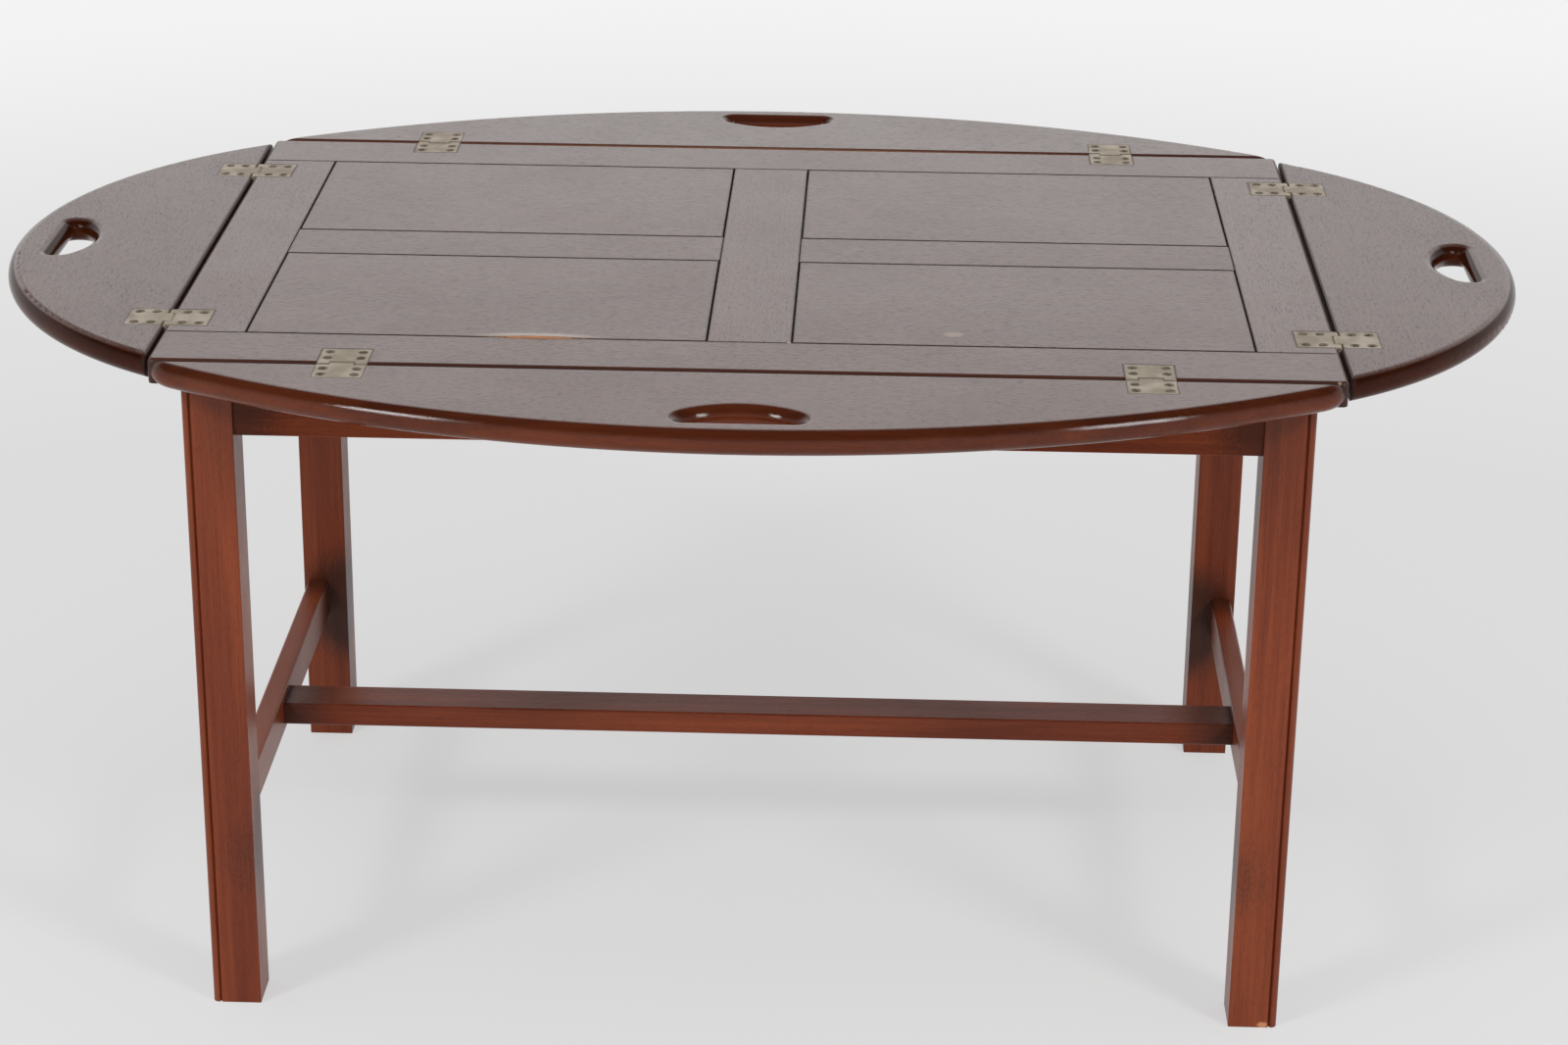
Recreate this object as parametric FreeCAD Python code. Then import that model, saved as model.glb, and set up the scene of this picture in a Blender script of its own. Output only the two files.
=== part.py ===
import FreeCAD, Part
import math
import os

# Tray table: a mahogany stand that carries a framed tray with four hinged leaves.
# Millimetres. The origin is on the floor under the middle of the tray.
# X runs along the table, the front is towards -Y, Z is up. The leaves lie flat, as an oval top.

Vector = FreeCAD.Vector

# Tray and oval top
top_height = 488.0
top_thickness = 17.0
tray_length = 783.0
tray_width = 523.0
tray_corner_radius = 4.0
rail_width = 57.0
stile_width = 55.0
centre_stile_width = 56.0
mid_rail_width = 56.0

# Panels held in grooves, flush with the frame on top
panel_thickness = 12.0
tongue_thickness = 6.0
groove_depth = 6.5
groove_clearance = 0.2
panel_line = 0.8
joint_bevel = 0.5

# Leaves: the depth runs from a leaf's straight edge to the top of its curve
leaf_gap = 2.0
side_leaf_depth = 115.0
side_leaf_tip = 4.5
side_leaf_tip_radius = 30.0
end_leaf_depth = 142.0
end_leaf_inset = 4.5
edge_flat = 0.2

# Hand holes, straight on the outer side and arched on the inner side, with half-round rims
hand_hole_length = 76.0
hand_hole_depth = 23.0
hand_hole_side = 8.5
hand_hole_corner_share = 0.4
hand_hole_shoulder_share = 0.9
side_hole_edge = 24.5
end_hole_edge = 30.5

# Flush hinges, two to a leaf, with the pin one knuckle radius below the top
hinge_length = 56.5
hinge_width = 33.0
plate_thickness = 2.0
knuckle_radius = 2.5
knuckle_clearance = 0.3
knuckle_end_gap = 0.2
pin_radius = 1.25
pin_clearance = 0.1
side_hinge_setback = 128.5
end_hinge_setback = 85.5
mortise_clearance = 0.2
arris_clearance = 0.25
leaf_knuckle_share = 0.5
spring_length = 18.0
spring_width = 9.0
spring_thickness = 0.8

# Hinge screws: two rows of two in each plate
screw_near = 10.5
screw_far = 22.0
screw_spread = 22.0
screw_head_radius = 3.0
screw_head_depth = 1.7
screw_radius = 1.5
screw_length = 13.0
screw_clearance = 0.05
slot_width = 0.8
slot_depth = 0.7
slot_turn_step = 50.0
slot_turn_start = 20.0

# Stand, set in from the edge of the tray
end_overhang = 16.5
side_overhang = 20.5
leg_side = 34.0
leg_arris = 0.8
bead_width = 4.4
quirk_width = 2.2
quirk_depth = 2.0
apron_height = 44.0
apron_thickness = 20.0
apron_setback = 2.5
stretcher_level = 121.0
end_stretcher_height = 30.0
end_stretcher_thickness = 15.5
end_stretcher_setback = 3.5
long_stretcher_width = 35.0
long_stretcher_thickness = 17.0
bar_arris = 1.6

# Mortise and tenon joints of the stand
tenon_thickness = 8.0
tenon_length = 14.0
tenon_shoulder = 5.0
long_tenon_length = 10.0
joint_clearance = 0.1
tenon_end_gap = 1.0

# Glue blocks in the corners of the stand
corner_block_side = 60.0
corner_block_height = 22.0
corner_block_drop = 20.0

# Battens under the tray, which drop inside the stand and locate the tray
batten_width = 14.0
batten_height = 16.0
batten_clearance = 1.5
batten_screw_edge = 4.5
batten_screw_end = 45.0
batten_screw_count = 3
batten_screw_length = 28.0

# One overrun for all cuts
overrun = 5.0

# Derived places
half_length = tray_length / 2
half_width = tray_width / 2
tray_bottom = top_height - top_thickness
axis_height = top_height - knuckle_radius
axis_x = half_length + leaf_gap / 2
axis_y = half_width + leaf_gap / 2
leg_x = half_length - end_overhang
leg_y = half_width - side_overhang
apron_bottom = tray_bottom - apron_height
groove_top = top_height - (panel_thickness - tongue_thickness)
groove_bottom = top_height - panel_thickness
bullnose_radius = (top_thickness - edge_flat) / 2

# The straight edges of tray and leaves are rounded just enough to miss each other when a leaf stands up
arris_radius = (knuckle_radius - leaf_gap / 2 + math.sqrt(2) * arris_clearance) / (2 - math.sqrt(2))

# The way out from the middle of the tray to each leaf, as a turn about the upright axis
right_turn = 0.0
back_turn = 90.0
left_turn = 180.0
front_turn = 270.0


def box(x0, x1, y0, y1, z0, z1):
    """A box between two limits on each axis."""
    return Part.makeBox(x1 - x0, y1 - y0, z1 - z0, Vector(x0, y0, z0))


def joined(first, others):
    """One solid from pieces that touch or overlap."""
    return first.multiFuse(others).removeSplitter()


def mirrored_x(shape):
    """The shape on the other end of the table."""
    return shape.mirror(Vector(0, 0, 0), Vector(1, 0, 0))


def mirrored_y(shape):
    """The shape on the other side of the table."""
    return shape.mirror(Vector(0, 0, 0), Vector(0, 1, 0))


def on_side(shape, turn, distance, along):
    """Carry a shape from its own hinge line, which runs along Y at the origin, to a side of the tray."""
    placed = shape.copy()
    placed.translate(Vector(distance, along, axis_height))
    placed.rotate(Vector(0, 0, 0), Vector(0, 0, 1), turn)
    return placed


def middle_of(edge):
    """The point half way along an edge."""
    return edge.valueAt((edge.FirstParameter + edge.LastParameter) / 2)


def edges_where(shape, test):
    """The edges whose two ends and middle all pass a test on a point."""
    found = []
    for edge in shape.Edges:
        points = [vertex.Point for vertex in edge.Vertexes] + [middle_of(edge)]
        if all(test(point) for point in points):
            found.append(edge)
    return found


def near(a, b):
    """True for two lengths that are the same but for rounding."""
    return math.isclose(a, b, rel_tol=1e-6, abs_tol=1e-6 * top_thickness)


def soft_bar(bar, direction):
    """A straight bar with its four long edges slightly rounded."""
    long_edges = []
    for edge in bar.Edges:
        if edge.tangentAt(edge.FirstParameter).cross(direction).Length < 1e-6:
            long_edges.append(edge)
    return bar.makeFillet(bar_arris, long_edges)


# Stand

def leg_blank():
    """The front left leg: square, with a bead between two quirks on its outer corner."""
    quirk_end = bead_width + quirk_width
    quirk_middle = bead_width + quirk_width / 2
    bead_middle = bead_width * (1 - math.sqrt(0.5))
    x0 = -leg_x
    y0 = -leg_y

    def at(u, v):
        return Vector(x0 + u, y0 + v, 0)

    corners = [(0, bead_width), (quirk_depth, quirk_middle), (0, quirk_end), (0, leg_side),
               (leg_side, leg_side), (leg_side, 0), (quirk_end, 0), (quirk_middle, quirk_depth),
               (bead_width, 0)]
    points = [at(u, v) for u, v in corners]
    edges = [Part.LineSegment(a, b).toShape() for a, b in zip(points, points[1:])]
    edges.append(Part.Arc(points[-1], at(bead_middle, bead_middle), points[0]).toShape())
    solid = Part.Face(Part.Wire(edges)).extrude(Vector(0, 0, tray_bottom))
    plain = [(x0, y0 + leg_side), (x0 + leg_side, y0 + leg_side), (x0 + leg_side, y0)]

    def on_plain_corner(point):
        return any(near(point.x, x) and near(point.y, y) for x, y in plain)

    return solid.makeFillet(leg_arris, edges_where(solid, on_plain_corner))


def apron_front():
    """The long apron at the front, with a tenon at each end."""
    inner_x = leg_x - leg_side
    y0 = -leg_y + apron_setback
    y1 = y0 + apron_thickness
    bar = soft_bar(box(-inner_x, inner_x, y0, y1, apron_bottom, tray_bottom), Vector(1, 0, 0))
    tenon = long_apron_tenon(tenon_length, 0)
    return joined(bar, [tenon, mirrored_x(tenon)])


def long_apron_tenon(length, clearance):
    """The tenon at the left end of the front apron, or the mortise for it."""
    inner_x = leg_x - leg_side
    middle = -leg_y + apron_setback + apron_thickness / 2
    half = tenon_thickness / 2 + clearance
    return box(-inner_x - length, -inner_x, middle - half, middle + half,
               apron_bottom + tenon_shoulder - clearance, tray_bottom - tenon_shoulder + clearance)


def apron_left():
    """The short apron at the left end, with a tenon at each end."""
    inner_y = leg_y - leg_side
    x0 = -leg_x + apron_setback
    x1 = x0 + apron_thickness
    bar = soft_bar(box(x0, x1, -inner_y, inner_y, apron_bottom, tray_bottom), Vector(0, 1, 0))
    tenon = short_apron_tenon(tenon_length, 0)
    return joined(bar, [tenon, mirrored_y(tenon)])


def short_apron_tenon(length, clearance):
    """The tenon at the front end of the left apron, or the mortise for it."""
    inner_y = leg_y - leg_side
    middle = -leg_x + apron_setback + apron_thickness / 2
    half = tenon_thickness / 2 + clearance
    return box(middle - half, middle + half, -inner_y - length, -inner_y,
               apron_bottom + tenon_shoulder - clearance, tray_bottom - tenon_shoulder + clearance)


def end_stretcher_tenon(length, clearance):
    """The tenon at the front end of the left stretcher, or the mortise for it."""
    inner_y = leg_y - leg_side
    middle = -leg_x + end_stretcher_setback + end_stretcher_thickness / 2
    half = tenon_thickness / 2 + clearance
    half_height = end_stretcher_height / 2 - tenon_shoulder + clearance
    return box(middle - half, middle + half, -inner_y - length, -inner_y,
               stretcher_level - half_height, stretcher_level + half_height)


def long_stretcher_tenon(length, clearance):
    """The tenon at the left end of the long stretcher, or the mortise for it."""
    inner_x = leg_x - end_stretcher_setback - end_stretcher_thickness
    half_width_y = long_stretcher_width / 2 - tenon_shoulder + clearance
    half_height = tenon_thickness / 2 + clearance
    return box(-inner_x - length, -inner_x, -half_width_y, half_width_y,
               stretcher_level - half_height, stretcher_level + half_height)


def leg_front_left():
    """The front left leg with its three mortises."""
    mortise_length = tenon_length + tenon_end_gap
    mortises = [long_apron_tenon(mortise_length, joint_clearance),
                short_apron_tenon(mortise_length, joint_clearance),
                end_stretcher_tenon(mortise_length, joint_clearance)]
    return leg_blank().cut(mortises)


def end_stretcher_left():
    """The left stretcher, standing on edge, with a mortise in the middle for the long stretcher."""
    inner_y = leg_y - leg_side
    x0 = -leg_x + end_stretcher_setback
    x1 = x0 + end_stretcher_thickness
    z0 = stretcher_level - end_stretcher_height / 2
    z1 = stretcher_level + end_stretcher_height / 2
    bar = soft_bar(box(x0, x1, -inner_y, inner_y, z0, z1), Vector(0, 1, 0))
    tenon = end_stretcher_tenon(tenon_length, 0)
    mortise = long_stretcher_tenon(long_tenon_length + tenon_end_gap, joint_clearance)
    return joined(bar, [tenon, mirrored_y(tenon)]).cut(mortise)


def long_stretcher():
    """The long stretcher, laid flat between the end stretchers."""
    inner_x = leg_x - end_stretcher_setback - end_stretcher_thickness
    half_y = long_stretcher_width / 2
    half_z = long_stretcher_thickness / 2
    bar = box(-inner_x, inner_x, -half_y, half_y, stretcher_level - half_z, stretcher_level + half_z)
    tenon = long_stretcher_tenon(long_tenon_length, 0)
    return joined(soft_bar(bar, Vector(1, 0, 0)), [tenon, mirrored_x(tenon)])


def corner_block_front_left():
    """A triangular glue block between two aprons, notched round the leg."""
    x0 = -leg_x + apron_setback + apron_thickness
    y0 = -leg_y + apron_setback + apron_thickness
    z1 = tray_bottom - corner_block_drop
    z0 = z1 - corner_block_height
    corners = [Vector(x0, y0, z0), Vector(x0 + corner_block_side, y0, z0),
               Vector(x0, y0 + corner_block_side, z0)]
    wedge = Part.Face(Part.makePolygon(corners + corners[:1])).extrude(Vector(0, 0, corner_block_height))
    leg = box(-leg_x, -leg_x + leg_side, -leg_y, -leg_y + leg_side, z0 - overrun, z1 + overrun)
    return wedge.cut(leg)


# Hinges, each in its own frame: pin along Y at the origin, tray towards -X, leaf towards +X

def screw_places():
    """The places of the four screws in one hinge plate, seen on the leaf's side."""
    return [(x, y) for x in (screw_near, screw_far) for y in (-screw_spread / 2, screw_spread / 2)]


def screw_blank(clearance):
    """A countersunk screw pointing down, its head flush with the plate, or the hole for it."""
    outline = [(0, 0), (screw_head_radius + clearance, 0), (screw_radius + clearance, -screw_head_depth),
               (screw_radius + clearance, -screw_length - clearance), (0, -screw_length - clearance)]
    points = [Vector(r, 0, knuckle_radius + z) for r, z in outline]
    face = Part.Face(Part.makePolygon(points + points[:1]))
    return face.revolve(Vector(0, 0, 0), Vector(0, 0, 1), 360)


def slotted_screw(turn):
    """A screw with its slot turned by some angle."""
    screw = screw_blank(0)
    reach = screw_head_radius + overrun
    slot = box(-reach, reach, -slot_width / 2, slot_width / 2,
               knuckle_radius - slot_depth, knuckle_radius + overrun)
    slot.rotate(Vector(0, 0, 0), Vector(0, 0, 1), turn)
    return screw.cut(slot)


def plate_screws(side):
    """The four screws of the plate on one side of the pin, with slots at various angles."""
    screws = []
    for index, (x, y) in enumerate(screw_places()):
        screw = slotted_screw(side * slot_turn_start + index * slot_turn_step)
        screw.translate(Vector(side * x, y, 0))
        screws.append(screw)
    return screws


def screw_holes(side):
    """Clearance holes for the four screws of one plate."""
    holes = []
    for x, y in screw_places():
        hole = screw_blank(screw_clearance)
        hole.translate(Vector(side * x, y, 0))
        holes.append(hole)
    return holes


def barrel(y0, y1, radius):
    """A round bar on the pin line."""
    return Part.makeCylinder(radius, y1 - y0, Vector(0, y0, 0), Vector(0, 1, 0))


def tray_plate():
    """The plate let into the tray, with the two outer knuckles."""
    half = hinge_width / 2
    inner = half * leaf_knuckle_share
    bottom = knuckle_radius - plate_thickness
    plate = box(-hinge_length / 2, 0, -half, half, bottom, knuckle_radius)
    knuckles = [barrel(-half, -inner, knuckle_radius), barrel(inner, half, knuckle_radius)]
    solid = joined(plate, knuckles)
    back_edge = -(knuckle_radius + knuckle_clearance)
    notch = box(back_edge, overrun, -inner, inner, bottom - overrun, knuckle_radius + overrun)
    bore = barrel(-half - overrun, half + overrun, pin_radius)
    return solid.cut([notch, bore] + screw_holes(-1))


def leaf_plate():
    """The plate let into a leaf, with the middle knuckle."""
    half = hinge_width / 2
    inner = half * leaf_knuckle_share - knuckle_end_gap
    bottom = knuckle_radius - plate_thickness
    front_edge = knuckle_radius + knuckle_clearance
    plate = box(front_edge, hinge_length / 2, -half, half, bottom, knuckle_radius)
    tongue = box(0, front_edge, -inner, inner, bottom, knuckle_radius)
    solid = joined(plate, [tongue, barrel(-inner, inner, knuckle_radius)])
    bore = barrel(-half - overrun, half + overrun, pin_radius + pin_clearance)
    return solid.cut([bore] + screw_holes(1))


def hinge_pin():
    """The pin, fixed in the tray plate's knuckles."""
    return barrel(-hinge_width / 2, hinge_width / 2, pin_radius)


def spring_limits():
    """The limits of the flat spring that lies under the tray plate and faces the leaf's knuckle."""
    x1 = -(knuckle_radius + knuckle_clearance)
    z1 = knuckle_radius - plate_thickness
    return x1 - spring_length, x1, -spring_width / 2, spring_width / 2, z1 - spring_thickness, z1


def hinge_spring():
    """The flat spring that holds a leaf flat or upright."""
    return box(*spring_limits())


def hinge_mortise(side):
    """What is cut away from the wood on one side of the pin for plate, knuckles and screws."""
    reach = hinge_length / 2 + mortise_clearance
    half = hinge_width / 2 + mortise_clearance
    pocket = knuckle_radius + knuckle_clearance
    high = knuckle_radius + overrun
    seat = box(-reach, 0, -half, half, knuckle_radius - plate_thickness, high)
    knuckle_room = box(-pocket, overrun, -half, half, -pocket, high)
    cutters = [seat, knuckle_room]
    if side > 0:
        cutters = [mirrored_x(cutter) for cutter in cutters]
    return cutters + screw_holes(side)


def spring_pocket():
    """The pocket in the tray's edge for one spring."""
    x0, x1, y0, y1, z0, z1 = spring_limits()
    gap = mortise_clearance
    return box(x0 - gap, x1 + gap, y0 - gap, y1 + gap, z0, z1)


def edge_round(length):
    """What is cut away to round the upper edge of a leaf's straight side, along its hinge line."""
    edge = leaf_gap / 2
    top = knuckle_radius
    middle = arris_radius * (1 - math.sqrt(0.5))
    high = top + overrun
    outside = edge - overrun
    start = Vector(edge, -length / 2, top - arris_radius)
    bend = Vector(edge + middle, -length / 2, top - middle)
    end = Vector(edge + arris_radius, -length / 2, top)
    arc = Part.Arc(start, bend, end).toShape()
    rest = Part.makePolygon([end, Vector(end.x, end.y, high), Vector(outside, end.y, high),
                             Vector(outside, end.y, start.z), start])
    face = Part.Face(Part.Wire([arc] + rest.Edges))
    return face.extrude(Vector(0, length, 0))


# The sides of the tray: turn, distance of the pin line, and hinge places along it

def hinge_sites():
    """Each hinge's name, leaf, turn, distance and place along its pin line."""
    side_along = half_length - side_hinge_setback
    end_along = half_width - end_hinge_setback
    return [("front_left", "front", front_turn, axis_y, -side_along),
            ("front_right", "front", front_turn, axis_y, side_along),
            ("back_left", "back", back_turn, axis_y, side_along),
            ("back_right", "back", back_turn, axis_y, -side_along),
            ("left_front", "left", left_turn, axis_x, end_along),
            ("left_back", "left", left_turn, axis_x, -end_along),
            ("right_front", "right", right_turn, axis_x, -end_along),
            ("right_back", "right", right_turn, axis_x, end_along)]


def tray_hinge_cutters(leaf):
    """What the two hinges of one leaf take out of the tray's edge."""
    cutters = []
    for name, site_leaf, turn, distance, along in hinge_sites():
        if site_leaf == leaf:
            for cutter in hinge_mortise(-1) + [spring_pocket()]:
                cutters.append(on_side(cutter, turn, distance, along))
    return cutters


# Tray frame and panels

def top_edge_at(x, y):
    """A test for points on the tray's top face at one X or one Y, where the other is None."""
    def test(point):
        on_top = near(point.z, top_height)
        at_x = x is None or near(point.x, x)
        at_y = y is None or near(point.y, y)
        return on_top and at_x and at_y
    return test


def tray_rail_front():
    """The front rail of the tray, as long as the tray, grooved along its inner edge."""
    y0 = -half_width
    y1 = -half_width + rail_width
    bar = box(-half_length, half_length, y0, y1, tray_bottom, top_height)

    def on_corner(point):
        return near(abs(point.x), half_length) and near(point.y, y0)

    bar = bar.makeFillet(tray_corner_radius, edges_where(bar, on_corner))
    bar = bar.makeChamfer(joint_bevel, edges_where(bar, top_edge_at(None, y1)))

    outer = []
    for edge in bar.Edges:
        middle = middle_of(edge)
        if near(middle.z, top_height) and not near(middle.y, y1 - joint_bevel):
            outer.append(edge)
    bar = bar.makeFillet(arris_radius, outer)
    groove = box(-half_length - overrun, half_length + overrun, y1 - groove_depth, y1 + overrun,
                 groove_bottom, groove_top)
    return bar.cut([groove] + tray_hinge_cutters("front"))


def stile_blank(x0, x1):
    """A stile between the two rails, with a stub tenon at each end and bevelled upper edges."""
    inner_y = half_width - rail_width
    bar = box(x0, x1, -inner_y, inner_y, tray_bottom, top_height)
    ends = edges_where(bar, top_edge_at(None, -inner_y)) + edges_where(bar, top_edge_at(None, inner_y))
    bar = bar.makeChamfer(joint_bevel, ends)
    reach = inner_y + groove_depth - groove_clearance
    tenon = box(x0, x1, -reach, reach, groove_bottom, groove_top)
    return joined(bar, [tenon])


def stile_groove(edge_x, inward):
    """The groove along one edge of a stile; inward points from the edge into the stile."""
    x0, x1 = sorted((edge_x + inward * groove_depth, edge_x - inward * overrun))
    return box(x0, x1, -half_width, half_width, groove_bottom, groove_top)


def stile_bevel(edge_x, inward):
    """What is cut away to bevel the upper edge of a stile beside the panels."""
    low = top_height - joint_bevel
    high = top_height + overrun
    inner = edge_x + inward * joint_bevel
    outer = edge_x - inward * overrun
    steep = inward * overrun
    points = [Vector(edge_x, -half_width, low), Vector(inner, -half_width, top_height),
              Vector(inner + steep, -half_width, high), Vector(outer, -half_width, high),
              Vector(outer, -half_width, low - overrun)]
    face = Part.Face(Part.makePolygon(points + points[:1]))
    return face.extrude(Vector(0, tray_width, 0))


def tray_stile_left():
    """The left stile of the tray, rounded on its outer edge and grooved on its inner edge."""
    inner_x = -half_length + stile_width
    bar = stile_blank(-half_length, inner_x)
    rounding = on_side(edge_round(tray_width), left_turn, axis_x, 0)
    rounding = rounding.mirror(Vector(-axis_x, 0, 0), Vector(1, 0, 0))
    cutters = [stile_groove(inner_x, -1), stile_bevel(inner_x, -1), rounding]
    return bar.cut(cutters + tray_hinge_cutters("left"))


def tray_centre_stile():
    """The stile across the middle of the tray, grooved on both edges."""
    half = centre_stile_width / 2
    bar = stile_blank(-half, half)
    grooves = [stile_groove(-half, 1), stile_groove(half, -1)]
    bevels = [stile_bevel(-half, 1), stile_bevel(half, -1)]
    return bar.cut(grooves + bevels)


def bay():
    """The limits along X of the left bay between end stile and centre stile."""
    return -half_length + stile_width, -centre_stile_width / 2


def tray_mid_rail_left():
    """The short rail that halves the left bay, with stub tenons and a groove on both edges."""
    x0, x1 = bay()
    half = mid_rail_width / 2
    bar = box(x0, x1, -half, half, tray_bottom, top_height)
    bar = bar.makeChamfer(joint_bevel, edges_where(bar, lambda point: near(point.z, top_height)))
    reach = groove_depth - groove_clearance
    tenon = box(x0 - reach, x1 + reach, -half, half, groove_bottom, groove_top)
    grooves = []
    for side in (-1, 1):
        y0, y1 = sorted((side * (half - groove_depth), side * (half + overrun)))
        grooves.append(box(x0 - groove_depth, x1 + groove_depth, y0, y1, groove_bottom, groove_top))
    return joined(bar, [tenon]).cut(grooves)


def tray_panel_front_left():
    """The front left panel: a face board with a tongue all round that sits in the grooves."""
    x0, x1 = bay()
    y0 = -half_width + rail_width
    y1 = -mid_rail_width / 2
    line = panel_line
    face = box(x0 + line, x1 - line, y0 + line, y1 - line, groove_top, top_height)
    face = face.makeChamfer(joint_bevel, edges_where(face, lambda point: near(point.z, top_height)))
    reach = groove_depth - groove_clearance
    tongue = box(x0 - reach, x1 + reach, y0 - reach, y1 + reach, groove_bottom, groove_top)
    return joined(face, [tongue])


# Battens under the tray

def batten_limits():
    """The limits of the left batten, just inside the left apron and between the legs."""
    x0 = -leg_x + apron_setback + apron_thickness + batten_clearance
    reach = leg_y - leg_side - batten_clearance
    return x0, x0 + batten_width, -reach, reach, tray_bottom - batten_height, tray_bottom


def batten_screw_sites():
    """The places of the screws through the left batten."""
    x0, x1, y0, y1, z0, z1 = batten_limits()
    first = y0 + batten_screw_end
    last = y1 - batten_screw_end
    step = (last - first) / (batten_screw_count - 1)
    return [(x0 + batten_screw_edge, first + index * step, z0) for index in range(batten_screw_count)]


def batten_screw(clearance):
    """A countersunk screw driven up through a batten, or the hole for it."""
    radius = screw_radius + clearance
    length = batten_screw_length + clearance
    outline = [(0, 0), (screw_head_radius + clearance, 0), (radius, screw_head_depth), (radius, length),
               (0, length)]
    points = [Vector(r, 0, z) for r, z in outline]
    face = Part.Face(Part.makePolygon(points + points[:1]))
    return face.revolve(Vector(0, 0, 0), Vector(0, 0, 1), 360)


def batten_screws_left(clearance):
    """The screws of the left batten, or the holes for them."""
    screws = []
    for x, y, z in batten_screw_sites():
        screw = batten_screw(clearance)
        screw.translate(Vector(x, y, z))
        screws.append(screw)
    return screws


def tray_batten_left():
    """The left batten with its screw holes."""
    return box(*batten_limits()).cut(batten_screws_left(screw_clearance))


# Leaves, each in its own frame: pin line along Y at the origin, leaf towards +X

def leaf_levels():
    """The bottom and top of a leaf above the pin line."""
    return knuckle_radius - top_thickness, knuckle_radius


def curve_radius(half_chord, rise):
    """The radius of an arc with a given half chord and rise."""
    return (half_chord ** 2 + rise ** 2) / (2 * rise)


def hand_hole(straight_x):
    """The opening of a hand hole: straight side near the leaf's rim, arch towards the hinges."""
    low, high = leaf_levels()
    half = hand_hole_length / 2
    shoulder_x = straight_x - hand_hole_side
    arch_x = straight_x - hand_hole_depth
    z = low - overrun
    corners = [Vector(shoulder_x, -half, z), Vector(straight_x, -half, z),
               Vector(straight_x, half, z), Vector(shoulder_x, half, z)]
    arch = Part.Arc(corners[-1], Vector(arch_x, 0, z), corners[0]).toShape()
    outline = Part.Wire(Part.makePolygon(corners).Edges + [arch])
    prism = Part.Face(outline).extrude(Vector(0, 0, high - low + 2 * overrun))

    def upright_at(x):
        return lambda point: near(point.x, x) and near(abs(point.y), half)

    corner = hand_hole_side * hand_hole_corner_share
    prism = prism.makeFillet(corner, edges_where(prism, upright_at(straight_x)))
    bend = math.acos(half / curve_radius(half, hand_hole_depth - hand_hole_side))
    shoulder = (hand_hole_side - corner) * hand_hole_shoulder_share / math.tan(bend / 2)
    return prism.makeFillet(shoulder, edges_where(prism, upright_at(shoulder_x)))


def with_hand_hole(slab, straight_x):
    """A slab with the hand hole cut through it and its rims rounded to a half circle."""
    low, high = leaf_levels()
    holed = slab.cut(hand_hole(straight_x))
    half = hand_hole_length / 2
    arch_x = straight_x - hand_hole_depth

    def on_rim(point):
        level = near(point.z, low) or near(point.z, high)
        inside_x = arch_x - joint_bevel < point.x < straight_x + joint_bevel
        return level and inside_x and abs(point.y) < half + joint_bevel

    return holed.makeFillet(bullnose_radius, edges_where(holed, on_rim))


def with_bullnose(slab, back_x=None):
    """A slab with its rim rounded to a half circle, except a straight side at back_x if it has one."""
    low, high = leaf_levels()
    rim = []
    for edge in slab.Edges:
        middle = middle_of(edge)
        level = near(middle.z, low) or near(middle.z, high)
        at_back = back_x is not None and near(middle.x, back_x)
        if level and not at_back:
            rim.append(edge)
    return slab.makeFillet(bullnose_radius, rim)


def finished_leaf(slab, half_span, hinge_along):
    """A rimmed slab cut straight along the gap, its edge rounded, with mortises for two hinges."""
    low, high = leaf_levels()
    wide = half_span + overrun
    behind = box(-tray_length, leaf_gap / 2, -wide, wide, low - overrun, high + overrun)
    cutters = [behind, edge_round(2 * wide)]
    for along in (-hinge_along, hinge_along):
        for cutter in hinge_mortise(1):
            moved = cutter.copy()
            moved.translate(Vector(0, along, 0))
            cutters.append(moved)
    return slab.cut(cutters)


def side_leaf():
    """The leaf along the front or back: a shallow arc with small rounded tips."""
    low, high = leaf_levels()
    outer_x = leaf_gap / 2 + side_leaf_depth
    tip_x = leaf_gap / 2 + side_leaf_tip
    behind_x = -2 * side_leaf_tip_radius
    corners = [Vector(tip_x, half_length, low), Vector(behind_x, half_length, low),
               Vector(behind_x, -half_length, low), Vector(tip_x, -half_length, low)]
    arc = Part.Arc(corners[-1], Vector(outer_x, 0, low), corners[0]).toShape()
    slab = Part.Face(Part.Wire(Part.makePolygon(corners).Edges + [arc])).extrude(Vector(0, 0, high - low))

    def on_tip(point):
        return near(point.x, tip_x) and near(abs(point.y), half_length)

    slab = slab.makeFillet(side_leaf_tip_radius, edges_where(slab, on_tip))
    slab = with_hand_hole(with_bullnose(slab, behind_x), outer_x - side_hole_edge)
    return finished_leaf(slab, half_length, half_length - side_hinge_setback)


def end_leaf():
    """The leaf at the left or right end: a deeper arc, cut straight along the gap."""
    low, high = leaf_levels()
    half_chord = half_width - end_leaf_inset
    radius = curve_radius(half_chord, end_leaf_depth)
    outer_x = leaf_gap / 2 + end_leaf_depth
    slab = Part.makeCylinder(radius, high - low, Vector(outer_x - radius, 0, low))
    slab = with_hand_hole(with_bullnose(slab), outer_x - end_hole_edge)
    return finished_leaf(slab, radius, half_width - end_hinge_setback)


# Assembly

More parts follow.
